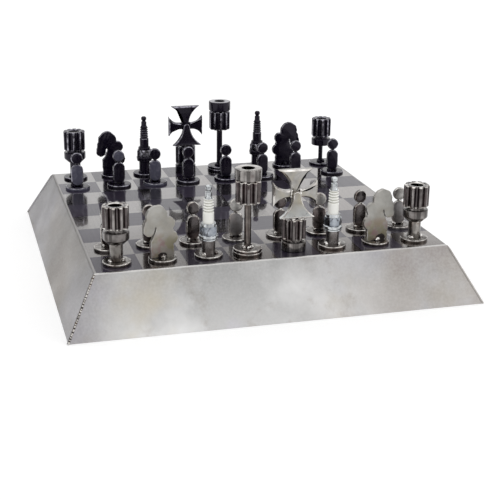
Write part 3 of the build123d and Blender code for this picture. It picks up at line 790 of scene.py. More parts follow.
def insulator(start):
    """Glazed ceramic body with soft ribs under its top: worn crests, with painted glints on the black men,
    and grooves in painted shade.
    """
    top = start + INSULATOR_HEIGHT
    outer = INSULATOR_D / 2
    corners = [(outer, start - INSULATOR_SEAT + 0.3, 0), (outer, start, 0.3)]
    rows = {}
    for rib in range(RIBS):
        height = top - RIBS * RIB_PITCH + rib * RIB_PITCH
        crest = outer - RIB_TAPER * rib / RIBS
        hollow = crest - RIB_DEPTH
        corners += [(crest, height, 0.6), (hollow, height + 0.9, 0.5), (hollow, height + 1.5, 0.5),
                    (crest - 0.12, height + 2.3, 0.6)]
        groove = 1 + (4 * rib + 2) * (CORNER_STEPS + 1)
        rows.update({groove + step: WORN for step in range(-CORNER_STEPS - 1, 1 - CORNER_STEPS)})
        rows.update({groove + step: DARK for step in range(CORNER_STEPS // 2, 2 * CORNER_STEPS)})
    corners += [(INSULATOR_TOP_D / 2, top, 0.8), (2.2, top, 0)]
    return turned(rounded(corners), rows=rows)


def terminal(start):
    """Screwed terminal nut with a ball end."""
    foot = start - 0.2
    barrel = start + TERMINAL_SKIRT_HEIGHT
    waist = barrel + TERMINAL_BARREL_HEIGHT
    knob = waist + TERMINAL_WAIST_HEIGHT
    top = knob + TERMINAL_KNOB_HEIGHT
    sizes = (TERMINAL_SKIRT_D, TERMINAL_BARREL_D, TERMINAL_WAIST_D, TERMINAL_KNOB_D)
    skirt, wide, narrow, ball = [diameter / 2 for diameter in sizes]
    corners = [(2.0, foot, 0), (skirt, foot, 0.3), (skirt, start + 0.8, 0.5), (wide, barrel, 0.5),
               (wide, waist, 0.8), (narrow, waist + 0.3, 0.5), (narrow, knob, 0.6), (ball, knob + 0.9, 0.9),
               (ball, top - 1.2, 1.2), (ball - 1.4, top, 0.8), (0.6, top, 0)]
    return turned(rounded(corners), count=TERMINAL_POINTS)


def bishop(seed):
    """Spark plug welded on a washer."""
    shell, shell_top = plug_shell()
    shell.join(terminal(shell_top + INSULATOR_HEIGHT))
    foot = Shape(washer(FOOT_D, FOOT_HOLE_D, seed), rod_welds(PLUG_THREAD_D / 2, FOOT_THICKNESS, seed))
    return {"foot": foot, "plug": shell, "insulator": insulator(shell_top)}


def meeting(first, first_radius, second, second_radius, side):
    """Where two circles cross: side 1 is left of the way from the first to the second, -1 right of it."""
    first, second = Vector(first), Vector(second)
    run = second - first
    along = (first_radius ** 2 - second_radius ** 2 + run.length_squared) / (2 * run.length)
    across = side * sqrt(first_radius ** 2 - along ** 2)
    ahead = run.normalized()
    return first + ahead * along + Vector((-ahead.y, ahead.x)) * across


def bearing(centre, point):
    """Angle from a centre to a point, in degrees from 0 to 360."""
    return degrees(atan2(point[1] - centre[1], point[0] - centre[0])) % 360


def horse_head(hollow):
    """Outline of the horse head: chest, throat, muzzle, head and the two lobes of the mane."""
    brow = meeting(MUZZLE_TOP, MUZZLE_RADIUS, HEAD_CENTRE, HEAD_RADIUS, -1)
    nape = meeting(CREST_CENTRE, CREST_RADIUS, HEAD_CENTRE, HEAD_RADIUS, 1)
    side = bearing(MUZZLE_END, MUZZLE_TOP) - 90

    def lobe(centre, radius, start, end):
        return arc(centre, radius, bearing(centre, start), bearing(centre, end))

    outline = [Vector((KNIGHT_FOOT_FRONT, 0)), Vector(CHEST)]
    outline += bowed(BREAST, THROAT, hollow) + [Vector(JAW)]
    outline += arc(MUZZLE_END, MUZZLE_RADIUS, side + 180, side + 360)
    outline += arc(MUZZLE_TOP, MUZZLE_RADIUS, side, bearing(MUZZLE_TOP, brow))
    outline += lobe(HEAD_CENTRE, HEAD_RADIUS, brow, nape)
    outline += lobe(CREST_CENTRE, CREST_RADIUS, nape, SADDLE) + [Vector(SADDLE)]
    outline += lobe(MANE_CENTRE, MANE_RADIUS, SADDLE, BACK_HOLLOW)
    return outline + [Vector(BACK_HOLLOW), Vector((KNIGHT_FOOT_BACK, 0))]


def dark_patches(centre, width, height, seed):
    """Dark patches round the two welds: films with a ragged edge on both faces of a plate."""
    shape = Shape()
    for side in (-1, 1):
        depth = side * (KNIGHT_THICKNESS / 2 + PATCH_FILM)
        points = [(centre, depth, FOOT_THICKNESS + height * PATCH_MIDDLE)]
        for angle in circle(PATCH_POINTS):
            turn = -side * angle
            reach = 1 + PATCH_RAGGED * noise.noise(Vector((2.5 * cos(turn), 2.5 * sin(turn), seed)))
            x = centre + reach * cos(turn) * width / 2
            rise = (PATCH_MIDDLE + (1 - PATCH_MIDDLE) * reach * sin(turn)) * height
            points.append((x, depth, FOOT_THICKNESS + max(rise, 0.0)))
        faces = [(0, 1 + step, 1 + (step + 1) % PATCH_POINTS) for step in range(PATCH_POINTS)]
        shape.add(points, faces, DARK)
    return shape


def knight(seed, square):
    """Flame-cut horse head welded upright on a washer."""
    hollow, patch = KNIGHT_CUTS[square]
    body = plate(horse_head(hollow), KNIGHT_THICKNESS, seed, KNIGHT_WOBBLE, KNIGHT_EDGE, KNIGHT_SPACING)
    body.raised(FOOT_THICKNESS)
    body.moved(lambda point: (point.x, point.y, max(point.z, FOOT_THICKNESS)))
    if patch:
        body.join(dark_patches(*patch, seed))
    foot = washer(FOOT_D, FOOT_HOLE_D, seed)
    for side in (-1, 1):
        spot = (0.6, side * (KNIGHT_THICKNESS / 2 + 0.9), FOOT_THICKNESS + 0.9)
        end = (side * KNIGHT_WELD_SPREAD, 0, FOOT_THICKNESS + 0.4)
        foot.join(weld(spot, 2.2, seed + side, (1.1, 1.0, 1.1)),
                  weld(end, 1.4, seed + 4 + side, (0.9, 1.3, 0.8)))
    return {"foot": foot, "plate": body}


MAKERS = {"pawn": pawn, "rook": rook, "bishop": bishop, "queen": queen}


def add_node(tree, kind, inputs=None, **settings):
    """New shader node; an input that is a socket is joined to it, any other value is set."""
    made = tree.nodes.new(kind)
    for name, value in settings.items():
        setattr(made, name, value)
    for name, value in (inputs or {}).items():
        if isinstance(value, bpy.types.NodeSocket):
            tree.links.new(value, made.inputs[name])
        else:
            made.inputs[name].default_value = value
    return made


def rgba(colour):
    """A colour with its alpha; a socket stays as it is."""
    return (*colour, 1.0) if isinstance(colour, tuple) else colour


class Finish:
    """A material under construction: short calls to add and join its nodes."""

    def __init__(self, name):
        self.name = name
        self.material = bpy.data.materials.new(name)
        self.material.use_nodes = True
        self.tree = self.material.node_tree
        self.shader = self.tree.nodes["Principled BSDF"]
        self.place = self.node("ShaderNodeTexCoord").outputs["Object"]

    def set(self, **values):
        """Constant values on the shader's own sockets."""
        for name, value in values.items():
            self.shader.inputs[name.replace("_", " ")].default_value = value

    def link(self, source, socket):
        self.tree.links.new(source, self.shader.inputs[socket])

    def node(self, kind, inputs=None, **settings):
        return add_node(self.tree, kind, inputs, **settings)

    def noise(self, scale, detail=3.0, stretch=(1, 1, 1), shift=(0, 0, 0), roughness=0.55):
        """Noise value between 0 and 1; scale counts features in a metre."""
        where = self.node("ShaderNodeMapping", {"Vector": self.place, "Scale": stretch, "Location": shift})
        return self.node("ShaderNodeTexNoise", {"Vector": where.outputs[0], "Scale": scale,
                                                "Detail": detail, "Roughness": roughness}).outputs[0]

    def ramp(self, value, stops):
        """Colour or grey along a ramp of (place, colour) stops."""
        made = self.node("ShaderNodeValToRGB", {"Fac": value})
        band = made.color_ramp
        while len(band.elements) < len(stops):
            band.elements.new(0.5)
        for element, (place, colour) in zip(band.elements, stops):
            element.position = place
            element.color = rgba(colour if isinstance(colour, tuple) else (colour, colour, colour))
        return made.outputs[0]

    def blend(self, share, first, second, mode="MIX"):
        """Two colours mixed by a share."""
        inputs = {0: share, 6: rgba(first), 7: rgba(second)}
        return self.node("ShaderNodeMix", inputs, data_type="RGBA", blend_type=mode).outputs[2]

    def patches(self, tone, colour, scale, detail, start, end, share, **where):
        """A tone with patches of another: none where the noise is below start, the full share above end."""
        cover = self.ramp(self.noise(scale, detail, **where), [(start, 0.0), (end, share)])
        return self.blend(cover, tone, colour)

    def rough(self, value, start, end, low, high):
        """Roughness from low to high along a value."""
        self.link(self.ramp(value, [(start, low), (end, high)]), "Roughness")

    def maths(self, kind, first, second):
        return self.node("ShaderNodeMath", {0: first, 1: second}, operation=kind).outputs[0]

    def bump(self, height, strength, depth):
        made = self.node("ShaderNodeBump", {"Height": height, "Strength": strength, "Distance": depth})
        self.link(made.outputs[0], "Normal")

    def grade(self, value, limits, levels):
        """A value brought from two limits to two levels, and held beyond them."""
        names = ("From Min", "From Max", "To Min", "To Max")
        inputs = dict(zip(names, (*limits, *levels)))
        return self.node("ShaderNodeMapRange", {"Value": value, **inputs}).outputs[0]

    def along(self, axis):
        """Place along an axis, 0 for X, in metres."""
        return self.node("ShaderNodeSeparateXYZ", {"Vector": self.place}).outputs[axis]

    def reach(self, axis, start, end, share=1.0):
        """0 at one place along an axis and a share at another, in metres."""
        return self.grade(self.along(axis), (start, end), (0.0, share))

    def heights(self, start, end):
        """0 at one height above the board and 1 at another, in millimetres."""
        return self.reach(2, BOARD_TOP + start * MM, BOARD_TOP + end * MM)


def skirt_steel():
    """Satin sheet steel with clouds and smudges, with painted light: brighter towards the foot as a painted
    reflection of the floor, darker towards the fold, a painted highlight along the front fold, and browner
    painted shade on the left and right.
    """
    finish = Finish("skirt_steel")
    tone = finish.ramp(finish.noise(6, 5, roughness=0.58),
                       [(0.42, (0.58, 0.577, 0.572)), (0.58, (0.92, 0.917, 0.915))])
    warm, lilac, brown = (0.66, 0.61, 0.51), (0.62, 0.60, 0.67), (0.32, 0.265, 0.215)
    tone = finish.patches(tone, warm, 7, 5, 0.47, 0.59, 0.85, shift=(3, 1, 2))
    tone = finish.patches(tone, lilac, 8, 5, 0.49, 0.61, 0.8, shift=(8, 5, 1))
    tone = finish.patches(tone, brown, 24, 6, 0.53, 0.66, 0.35, shift=(2, 2, 6), roughness=0.7)
    # Painted reflection of the floor: the sheet is brighter towards its foot and darker towards the fold
    fold = finish.ramp(finish.heights(-52, -2), [(0.0, 1.0), (0.5, 0.81), (1.0, 0.62)])
    tone = finish.blend(1.0, tone, fold, "MULTIPLY")
    # Painted shade: a darker, browner patina tone laid over the left panel and the right-hand part of the
    # board
    right = finish.reach(0, 0.0, 0.12, 0.66)
    left = finish.reach(0, -0.155, -0.195, 0.85)
    patina_and_side_shade = finish.ramp(finish.noise(11, 5, stretch=(1, 0.4, 1), shift=(5, 9, 3)),
                         [(0.43, (0.262, 0.226, 0.198)), (0.50, (0.298, 0.274, 0.260)),
                          (0.57, (0.325, 0.312, 0.330))])
    tone = finish.blend(finish.maths("MAXIMUM", right, left), tone, patina_and_side_shade)
    tone = finish.patches(tone, (0.80, 0.79, 0.78), 420, 3, 0.35, 0.75, 0.16)
    # The rim at the fold: a painted highlight line along the front, painted shade along the other sides
    front = finish.maths("LESS_THAN", finish.along(1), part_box("dark_squares")[0].y)
    rim = finish.blend(front, (0.31, 0.30, 0.295), (0.52, 0.51, 0.50))
    finish.link(finish.blend(finish.heights(-1.0, -0.4), tone, rim), "Base Color")
    finish.rough(finish.noise(16, 5, shift=(1, 7, 3)), 0.3, 0.75, 0.30, 0.50)
    finish.set(Metallic=1.0, Coat_Weight=0.25, Coat_Roughness=0.25)
    finish.bump(finish.blend(0.5, finish.noise(900, 2), finish.noise(18, 2)), 0.10, 0.0006)
    return finish


def tile_values(finish):
    """A random value for each square, and lines of brushing that change direction from square to square."""
    cell = finish.node("ShaderNodeVectorMath", {0: finish.place, 1: (SQUARE, SQUARE, 1.0)},
                       operation="DIVIDE")
    whole = finish.node("ShaderNodeVectorMath", {0: cell.outputs[0]}, operation="FLOOR")
    chance = finish.node("ShaderNodeTexWhiteNoise", {"Vector": whole.outputs[0]}, noise_dimensions="2D")
    along = finish.noise(30, 4, stretch=(0.5, 16, 1))
    across = finish.noise(30, 4, stretch=(16, 0.5, 1), shift=(2, 3, 0))
    pick = finish.maths("GREATER_THAN", chance.outputs[0], 0.5)
    parts = finish.node("ShaderNodeSeparateColor", {"Color": chance.outputs[1]})
    return parts.outputs[1], finish.blend(pick, along, across)


def light_square():
    """Brushed bare steel under a glossy clear coat, a little different on each square, with painted shade:
    browner towards the right and darker at the rear.
    """
    finish = Finish("light_square")
    chance, lines = tile_values(finish)
    tone = finish.ramp(chance, [(0.0, (0.168, 0.154, 0.149)), (1.0, (0.255, 0.236, 0.228))])
    tone = finish.blend(finish.ramp(lines, [(0.3, 0.0), (0.75, 0.25)]), tone, (0.15, 0.137, 0.135))
    tone = finish.patches(tone, (0.24, 0.195, 0.17), 14, 4, 0.5, 0.8, 0.45)
    # Painted shade of the reflections: browner towards the right, darker towards the rear
    tone = finish.blend(finish.reach(0, -0.12, 0.17, 0.7), tone, (0.205, 0.172, 0.155))
    tone = finish.blend(finish.reach(1, -0.02, 0.15, 0.6), tone, (0.135, 0.123, 0.120))
    finish.link(tone, "Base Color")
    finish.rough(lines, 0.2, 0.8, 0.10, 0.20)
    finish.set(Metallic=1.0, Coat_Weight=1.0, Coat_Roughness=0.015, Coat_IOR=1.40)
    finish.bump(lines, 0.04, 0.0003)
    return finish


def dark_square():
    """Blackened steel with a violet cast under the same clear coat."""
    finish = Finish("dark_square")
    chance, lines = tile_values(finish)
    tone = finish.ramp(chance, [(0.0, (0.007, 0.005, 0.011)), (1.0, (0.020, 0.016, 0.028))])
    tone = finish.blend(finish.ramp(lines, [(0.35, 0.0), (0.8, 0.4)]), tone, (0.035, 0.030, 0.044))
    finish.link(tone, "Base Color")
    finish.rough(lines, 0.2, 0.8, 0.30, 0.45)
    finish.set(Specular_IOR_Level=0.1, Coat_Weight=1.0, Coat_Roughness=0.015, Coat_IOR=1.38,
               Coat_Tint=(0.97, 0.94, 1.0, 1.0))
    finish.bump(lines, 0.04, 0.0003)
    return finish


def worn_steel(name, dark, pale, tint, rough, streaks=0.0, scale=120):
    """Lacquered salvaged steel: blotches of scale, upright streaks, a heat tint and fine grain."""
    finish = Finish(name)
    tone = finish.ramp(finish.noise(scale, 5), [(0.32, dark), (0.68, pale)])
    tone = finish.patches(tone, tint, 70, 3, 0.5, 0.8, 0.65, shift=(5, 2, 9))
    if streaks:
        deep = tuple(0.5 * value for value in dark)
        tone = finish.patches(tone, deep, 260, 2, 0.46, 0.56, streaks, stretch=(1, 1, 0.03))
    finish.link(tone, "Base Color")
    finish.rough(finish.noise(scale * 2, 4, shift=(1, 1, 4)), 0.3, 0.8, rough, rough + 0.14)
    finish.set(Metallic=1.0, Coat_Weight=0.4, Coat_Roughness=0.08)
    finish.bump(finish.noise(700, 3), 0.12, 0.0005)
    return finish


def silver_plate():
    """Matte cut plate: beige grey, with purple, olive and pink heat colours above the foot weld, pitted."""
    finish = Finish("silver_plate")
    tone = finish.ramp(finish.noise(60, 5), [(0.3, (0.29, 0.283, 0.262)), (0.7, (0.43, 0.42, 0.395))])
    tone = finish.patches(tone, (0.345, 0.315, 0.265), 48, 3, 0.5, 0.7, 0.6, shift=(7, 3, 1))
    near = finish.ramp(finish.heights(3, 29), [(0.0, 0.6), (0.35, 1.0), (0.65, 0.7), (1.0, 0.0)])
    pink = finish.ramp(finish.noise(75, 3, shift=(2, 9, 4)), [(0.45, 0.0), (0.56, 0.9)])
    olive = finish.ramp(finish.noise(80, 3, shift=(6, 1, 8)), [(0.47, 0.0), (0.58, 0.85)])
    for cover, colour in ((0.65, (0.205, 0.178, 0.148)), (pink, (0.26, 0.165, 0.165)),
                          (olive, (0.23, 0.21, 0.13))):
        tone = finish.blend(finish.maths("MULTIPLY", near, cover), tone, colour)
    finish.link(tone, "Base Color")
    finish.rough(finish.noise(150, 4), 0.3, 0.75, 0.40, 0.56)
    finish.set(Metallic=0.9, Coat_Weight=0.15, Coat_Roughness=0.3)
    finish.bump(finish.noise(420, 4), 0.22, 0.0006)
    return finish


def silver_cross():
    """Satin plate of the cross, shaded from straw to blue grey."""
    finish = Finish("silver_cross")
    tone = finish.ramp(finish.noise(70, 5), [(0.3, (0.24, 0.23, 0.215)), (0.7, (0.48, 0.468, 0.45))])
    tone = finish.patches(tone, (0.39, 0.355, 0.265), 60, 3, 0.45, 0.65, 0.7, shift=(4, 8, 2))
    cool = finish.ramp(finish.heights(33, 50), [(0.0, 0.9), (1.0, 0.0)])
    finish.link(finish.blend(cool, tone, (0.68, 0.71, 0.71)), "Base Color")
    finish.rough(finish.noise(150, 4), 0.3, 0.75, 0.24, 0.40)
    finish.set(Metallic=1.0, Coat_Weight=0.3, Coat_Roughness=0.12)
    finish.bump(finish.noise(380, 4), 0.18, 0.0006)
    return finish


def mottled(name, colour, patch, cover, grain, **values):
    """Finish of one colour with patches of another, a fine grain and constant shader values."""
    finish = Finish(name)
    finish.link(finish.patches(colour, patch, *cover), "Base Color")
    finish.set(**values)
    scale, detail, strength, depth = grain
    finish.bump(finish.noise(scale, detail), strength, depth)
    return finish


def weld_bright():
    """Silvery weld metal with burnt spots."""
    return mottled("weld_bright", (0.84, 0.82, 0.79), (0.09, 0.07, 0.065), (420, 3, 0.44, 0.58, 0.95),
                   (900, 3, 0.25, 0.0005), Metallic=1.0, Roughness=0.14, Coat_Weight=0.5, Coat_Roughness=0.04)


def seam_steel():
    """Dark brushed corner weld with a little rust."""
    finish = mottled("seam_steel", (0.070, 0.062, 0.058), (0.20, 0.105, 0.06), (140, 4, 0.5, 0.72, 0.7),
                     (700, 3, 0.2, 0.0005), Metallic=1.0)
    finish.rough(finish.noise(300, 3), 0.3, 0.7, 0.3, 0.5)
    return finish


def plug_metal():
    """Bright zinc plate with grey water marks."""
    return mottled("plug_metal", (0.62, 0.645, 0.66), (0.23, 0.24, 0.255), (200, 3, 0.42, 0.68, 0.9),
                   (300, 2, 0.05, 0.0004), Metallic=1.0, Roughness=0.12)


def plug_ceramic():
    """Cream glazed ceramic, slightly stained."""
    return mottled("plug_ceramic", (0.97, 0.965, 0.92), (0.88, 0.86, 0.76), (170, 4, 0.5, 0.8, 0.4),
                   (500, 2, 0.04, 0.0004), Roughness=0.16, Coat_Weight=0.6, Coat_Roughness=0.04)


def ceramic_groove_shade():
    """Painted shade in the grooves of the ceramic, mottled."""
    return mottled("ceramic_groove_shade", (0.50, 0.49, 0.42), (0.33, 0.32, 0.26), (260, 4, 0.4, 0.7, 0.8),
                   (500, 2, 0.05, 0.0004), Roughness=0.3, Coat_Weight=0.4, Coat_Roughness=0.06)


def black_paint(name, deep, hazy, rough):
    """Gloss black paint with a violet cast, orange peel and a thin haze of dust."""
    finish = mottled(name, deep, hazy, (200, 4, 0.5, 0.85, 0.5), (300, 2, 0.06, 0.0005), Coat_Weight=0.22,
                     Coat_Roughness=0.02, Specular_IOR_Level=0.18, Specular_Tint=(0.82, 0.72, 1.0, 1.0))
    finish.rough(finish.noise(160, 4, shift=(6, 2, 2)), 0.3, 0.8, rough, rough + 0.12)
    return finish


# Darkest and palest tone, heat tint, roughness, streaks and scale of each salvaged steel
STEELS = {
    "silver_steel": ((0.11, 0.098, 0.090), (0.40, 0.38, 0.355), (0.20, 0.135, 0.105), 0.14, 0.5),
    "silver_gear": ((0.11, 0.099, 0.094), (0.37, 0.35, 0.337), (0.19, 0.13, 0.12), 0.13, 0.8),
    "collar_dark": ((0.075, 0.066, 0.062), (0.26, 0.244, 0.236), (0.16, 0.11, 0.10), 0.13, 0.8),
    # painted shade in the tooth gaps, on the gear ends and in the bore
    "gear_gap_shade": ((0.032, 0.025, 0.027), (0.105, 0.088, 0.086), (0.078, 0.045, 0.047), 0.12),
    # worn tips of teeth, painted lighter as a highlight
    "gear_land": ((0.105, 0.090, 0.088), (0.33, 0.31, 0.30), (0.16, 0.105, 0.112), 0.14, 0.5),
    "rod_dark": ((0.060, 0.048, 0.043), (0.20, 0.175, 0.16), (0.12, 0.070, 0.052), 0.12, 0.7),
    "slug_dark": ((0.060, 0.051, 0.052), (0.115, 0.102, 0.100), (0.120, 0.080, 0.074), 0.15),
    "slug_pale": ((0.16, 0.152, 0.153), (0.30, 0.292, 0.295), (0.22, 0.175, 0.165), 0.30),
    "slug_bright": ((0.24, 0.232, 0.225), (0.50, 0.488, 0.47), (0.34, 0.27, 0.245), 0.26),
    "dark_patch": ((0.010, 0.008, 0.009), (0.050, 0.042, 0.040), (0.060, 0.035, 0.025), 0.25),
    "plate_edge": ((0.22, 0.212, 0.20), (0.56, 0.55, 0.53), (0.30, 0.24, 0.20), 0.28),
    # worn bare edges painted bright as glints, and the painted glints on a rippled seam
    "edge_wear_and_glint": ((0.26, 0.245, 0.23), (0.80, 0.775, 0.74), (0.42, 0.32, 0.27), 0.12),
    # worn rims of washers and slugs with painted broken glints
    "rim_wear_and_glint": ((0.10, 0.086, 0.080), (0.78, 0.755, 0.72), (0.30, 0.21, 0.18), 0.12, 0.0, 240),
    "plug_dark": ((0.070, 0.060, 0.057), (0.21, 0.195, 0.19), (0.10, 0.070, 0.060), 0.16, 0.6),
    "plug_hex": ((0.075, 0.088, 0.120), (0.40, 0.43, 0.47), (0.15, 0.17, 0.21), 0.12),
    # painted glints in pale lilac on the edges and lands of the black men
    "black_edge_glint": ((0.006, 0.005, 0.008), (0.42, 0.41, 0.47), (0.05, 0.043, 0.070), 0.12, 0.0, 330),
}


def make_finishes():
    """Every material by name."""
    made = [skirt_steel(), light_square(), dark_square(), seam_steel(), silver_plate(), silver_cross(),
            weld_bright(), plug_metal(), plug_ceramic(), ceramic_groove_shade(),
            black_paint("black_paint", (0.0058, 0.0042, 0.0100), (0.018, 0.015, 0.027), 0.10),
            # lighter blue-grey paint that carries the painted sheen of a few black pawns
            black_paint("black_painted_sheen", (0.080, 0.079, 0.112), (0.26, 0.26, 0.32), 0.20)]
    made += [worn_steel(name, *values) for name, values in STEELS.items()]
    return {finish.name: finish.material for finish in made}


FINISHES = make_finishes()
# Finishes of each silver piece in the order of the finish numbers
SILVER_FINISHES = {
    "": ("silver_steel", "weld_bright", "slug_dark", "rim_wear_and_glint", "slug_dark"),
    "foot": ("silver_steel", "weld_bright", "rod_dark", "rim_wear_and_glint", "edge_wear_and_glint"),
    "stand": ("silver_steel", "weld_bright", "rod_dark", "rim_wear_and_glint", "edge_wear_and_glint"),
    "pinion": ("silver_gear", "weld_bright", "gear_gap_shade", "edge_wear_and_glint", "gear_land"),
    "plate": ("silver_plate", "weld_bright", "dark_patch", "plate_edge", "plate_edge"),
    "cross": ("silver_cross", "weld_bright", "rod_dark", "edge_wear_and_glint", "edge_wear_and_glint"),
    "plug": ("plug_metal", "weld_bright", "plug_dark", "edge_wear_and_glint", "plug_hex"),
    "insulator": ("plug_ceramic", "weld_bright", "ceramic_groove_shade", "plug_ceramic", "edge_wear_and_glint"),
}
SEAM_FINISHES = ("skirt_steel", "seam_steel", "edge_wear_and_glint")


def make_object(name, shape, materials):
    """Blender object of a shape already in metres and in place."""
    mesh = bpy.data.meshes.new(name)
    mesh.from_pydata(shape.points, [], shape.faces)
    mesh.polygons.foreach_set("material_index", shape.finishes)
    for material in materials:
        mesh.materials.append(material)
    mesh.shade_smooth()
    mesh.set_sharp_from_angle(angle=radians(SHARP_ANGLE))
    mesh.update()
    made = bpy.data.objects.new(name, mesh)
    bpy.context.scene.collection.objects.link(made)
    return made


def man_materials(colour, kind, piece, square):
    """Finishes of a piece in the order of the finish numbers."""
    names = list(SILVER_FINISHES[piece])
    if colour == "black":
        # Black men: painted glints on the rubbed edges and, except on pawns, on the lands
        names = ["black_paint"] * len(names)
        names[WORN] = "black_edge_glint"
        names[LAND] = "black_paint" if kind == "pawn" else "black_edge_glint"
        # painted sheen on a few pawn slugs and heads
        if square in PAINTED_SHEEN_BODIES:
            names[DARK] = "black_painted_sheen"
        if square in PAINTED_SHEEN_HEADS:
            names[LAND] = "black_painted_sheen"
    else:
        if kind == "rook" and piece == "pinion":
            names[PLAIN] = "collar_dark"
        if square in PALE_BODIES:
            names[DARK] = "slug_pale"
        if square in PALE_HEADS:
            names[LAND] = "slug_bright"
    return [FINISHES[name] for name in names]


def set_man(body):
    """Detailed pieces of one man on its square, in place of its CAD nodes."""
    colour, kind, square = body.split("_")
    low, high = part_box(bodies[body][0])
    centre = (low + high) / 2
    turn = Matrix.Rotation(radians(TURN[square]), 3, "Z")
    seed = random.Random(body).uniform(0, 90)
    if kind == "knight":
        pieces = knight(seed, square)
    elif kind == "king":
        pieces = king(seed, colour)
    elif square == LEAN_ROOK_SQUARE:
        pieces = lean_rook(seed)
    else:
        pieces = MAKERS[kind](seed)

    def place(point):
        spot = turn @ (point * MM)
        return spot.x + centre.x, spot.y + centre.y, spot.z + BOARD_TOP

    for piece, shape in pieces.items():
        node = f"{body}_{piece}" if piece else body
        made = make_object(f"{node}_look", shape.moved(place), man_materials(colour, kind, piece, square))
        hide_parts(node)
        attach(made, body)


def set_board():
    """Finishes of the board's own CAD nodes, and the corner seams in place of theirs."""
    for node in bodies["board"]:
        if node != "corner_welds":
            held = frame["nodes"][node]
            held.data.materials.clear()
            held.data.materials.append(FINISHES[slots[node]])
    made = make_object("corner_welds_look", corner_seams(), [FINISHES[name] for name in SEAM_FINISHES])
    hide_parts("corner_welds")
    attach(made, "board")


def corner_seams():
    """Beads down the four slanting corners; the front left one is left rippled, the others ground back."""
    shape = Shape()
    foot_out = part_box("front_skirt")[1].x
    top_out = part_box("deck_plate")[1].x + SEAM_TOP_OUT
    top_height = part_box("corner_welds")[1].z
    for x_side in (-1, 1):
        for y_side in (-1, 1):
            foot = Vector((x_side * foot_out, y_side * foot_out, 0)) / MM
            top = Vector((x_side * top_out, y_side * top_out, top_height)) / MM
            shape.join(seam(foot, top, rippled=x_side + y_side == -2))
    return shape.moved(lambda point: point * MM)


def ripple_phase(way):
    """Place in its ripple, from 0 to 1, of a point on the rippled seam; the ripples are uneven."""
    stray = SEAM_STRAY * noise.noise(Vector((way / SEAM_RIPPLE * SEAM_STRAY_WAVE, 4.0, 1.0)))
    return (way + stray) / SEAM_RIPPLE % 1.0


def seam(foot, top, rippled):
    """Weld bead between two points, with ripples like stacked coins or ground smooth."""
    along = (top - foot).normalized()
    side = along.cross(Vector((0, 0, 1))).normalized()
    out = side.cross(along)
    length = (top - foot).length
    steps = int(length / SEAM_STEP)
    rings = []
    for step in range(steps + 1):
        way = length * step / steps
        radius = SEAM_RADIUS * SEAM_GROUND * min(1.0, SEAM_TIP + (length - way) / SEAM_TAPER)
        if rippled:
            lump = SEAM_LUMP * noise.noise(Vector((way * SEAM_LUMP_WAVE, foot.x, foot.y)))
            swell = SEAM_SWELL * (1 - ripple_phase(way)) + lump
            radius = SEAM_BEAD * (SEAM_SLIM + swell)
        middle = foot + along * way
        spots = [middle + (side * cos(turn) + out * sin(turn)) * radius for turn in circle(SEAM_POINTS)]
        rings.append([(spot.x, spot.y, max(spot.z, 0.0)) for spot in spots])
    return skin(rings, rows=seam_finishes(steps, length) if rippled else None)


def seam_finishes(steps, length):
    """Bands of a rippled seam: painted glints on the crests of its lit right side, more of them higher up,
    burnt elsewhere.
    """
    rows = {}
    for step in range(steps):
        way = length * step / steps
        stray = SEAM_CREST_STRAY * noise.noise(Vector((way * SEAM_CREST_WAVE, 7.0, 2.0)))
        share = SEAM_CREST + SEAM_CREST_RISE * (way / length - 0.5) + stray
        crest = ripple_phase(way) < share
        middles = [2 * pi * (number + 0.5) / SEAM_POINTS for number in range(SEAM_POINTS)]
        lit = [cos(turn) > SEAM_LIT_FROM for turn in middles]
        rows[step] = [SEAM_GLINT if crest and facing else SEAM_BURNT for facing in lit]
    return rows


def set_camera():
    """Camera at the photograph's viewing angle."""
    turn, drop, roll = radians(CAMERA_AZIMUTH), radians(CAMERA_DROP), radians(CAMERA_ROLL)
    ahead = Vector((sin(turn) * cos(drop), cos(turn) * cos(drop), -sin(drop)))
    right = Vector((cos(turn), -sin(turn), 0))
    up = right.cross(ahead)
    right, up = right * cos(roll) + up * sin(roll), up * cos(roll) - right * sin(roll)
    data = bpy.data.cameras.new("camera")
    data.lens = CAMERA_LENS
    data.sensor_width = SENSOR_WIDTH
    data.clip_end = CAMERA_REACH
    camera = bpy.data.objects.new("camera", data)
    camera.matrix_world = Matrix.Translation(CAMERA_AT) @ Matrix((right, up, -ahead)).transposed().to_4x4()
    bpy.context.scene.collection.objects.link(camera)
    bpy.context.scene.camera = camera


def seen_ray(tree):
    """1 for the rays that show the background: from the camera, in gloss and through glass."""
    path = add_node(tree, "ShaderNodeLightPath")
    total = path.outputs["Is Camera Ray"]
    for name in ("Is Glossy Ray", "Is Transmission Ray"):
        either = add_node(tree, "ShaderNodeMath", {0: total, 1: path.outputs[name]}, operation="MAXIMUM")
        total = either.outputs[0]
    return total


def set_world():
    """White room."""
    world = bpy.data.worlds.new("studio")
    bpy.context.scene.world = world
    world.use_nodes = True
    tree = world.node_tree
    seen = tree.nodes["Background"]
    seen.inputs["Color"].default_value = (1, 1, 1, 1)
    light = add_node(tree, "ShaderNodeBackground", {"Strength": AMBIENT})
    mix = add_node(tree, "ShaderNodeMixShader", {0: seen_ray(tree), 1: light.outputs[0], 2: seen.outputs[0]})
    tree.links.new(mix.outputs[0], tree.nodes["World Output"].inputs[0])


def panel(name, width, depth, material):
    """Flat stage panel in X and Y."""
    shape = Shape()
    x, y = width / 2, depth / 2
    shape.add([(-x, -y, 0), (x, -y, 0), (x, y, 0), (-x, y, 0)], [(0, 1, 2, 3)])
    made = make_object(name, shape, [material])
    return made


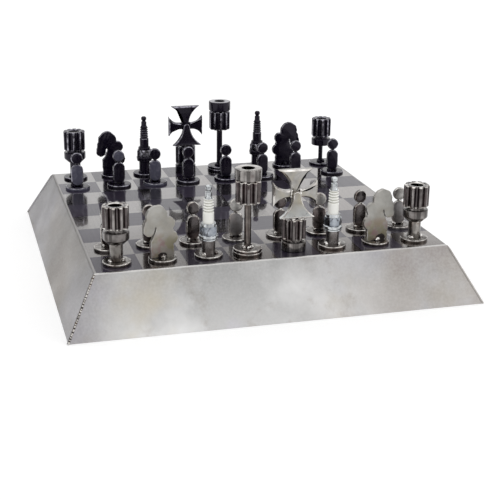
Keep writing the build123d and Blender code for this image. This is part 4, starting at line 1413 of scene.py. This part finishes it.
def set_floor():
    """White table top that keeps the object's shadow."""
    finish = Finish("table_top")
    finish.set(Base_Color=(FLOOR_GREY, FLOOR_GREY, FLOOR_GREY, 1), Roughness=0.9, Specular_IOR_Level=0.0,
               Emission_Color=(1, 1, 1, 1))
    away = finish.node("ShaderNodeVectorMath", {0: finish.place}, operation="LENGTH").outputs["Value"]
    level = finish.grade(away, FLOOR_NEAR, FLOOR_GLOW)
    finish.link(finish.maths("MULTIPLY", seen_ray(finish.tree), level), "Emission Strength")
    floor = panel("table_top", FLOOR_SIZE, FLOOR_SIZE, finish.material)
    floor.location.z = -FLOOR_DROP


def aim(thing, place, target):
    """Puts a lamp or card at a place, facing a target."""
    way = Vector(target) - Vector(place)
    thing.matrix_world = Matrix.Translation(place) @ way.to_track_quat("-Z", "Y").to_matrix().to_4x4()


def softbox(name, place, width, height, power):
    """Soft lamp that faces the board."""
    data = bpy.data.lights.new(name, "AREA")
    data.shape = "RECTANGLE"
    data.size = width
    data.size_y = height
    data.energy = power
    lamp = bpy.data.objects.new(name, data)
    bpy.context.scene.collection.objects.link(lamp)
    aim(lamp, place, BOARD_MIDDLE)


def flag(name, place, width, height, grey, fade=None):
    """Dark card facing the board that only metal and gloss see.

    A fade gives the widths over which the card fades out at its lower edge and at one side.
    """
    finish = Finish(name)
    finish.set(Base_Color=rgba(tuple(grey * part for part in CARD_WARMTH)), Roughness=1.0,
               Specular_IOR_Level=0.0)
    if fade:
        lower = finish.reach(1, -height / 2, fade[0] - height / 2)
        side = finish.reach(0, width / 2, width / 2 - fade[1])
        clear = finish.node("ShaderNodeBsdfTransparent").outputs[0]
        mix = finish.node("ShaderNodeMixShader", {0: finish.maths("MULTIPLY", side, lower), 1: clear,
                                                  2: finish.shader.outputs[0]})
        finish.tree.links.new(mix.outputs[0], finish.tree.nodes["Material Output"].inputs[0])
    card = panel(name, width, height, finish.material)
    aim(card, place, BOARD_MIDDLE)
    card.visible_camera = False
    card.visible_diffuse = False
    card.visible_transmission = False
    card.visible_shadow = False


def set_studio():
    """Soft light from above and from the right, with dark cards where the room is dark."""
    set_world()
    set_floor()
    for name, values in LAMPS.items():
        softbox(name, *values)
    for name, values in CARDS.items():
        flag(name, *values)


def main():
    bpy.context.scene.view_settings.view_transform = "Standard"
    set_board()
    for body in bodies:
        if body != "board":
            set_man(body)
    set_studio()
    set_camera()


main()
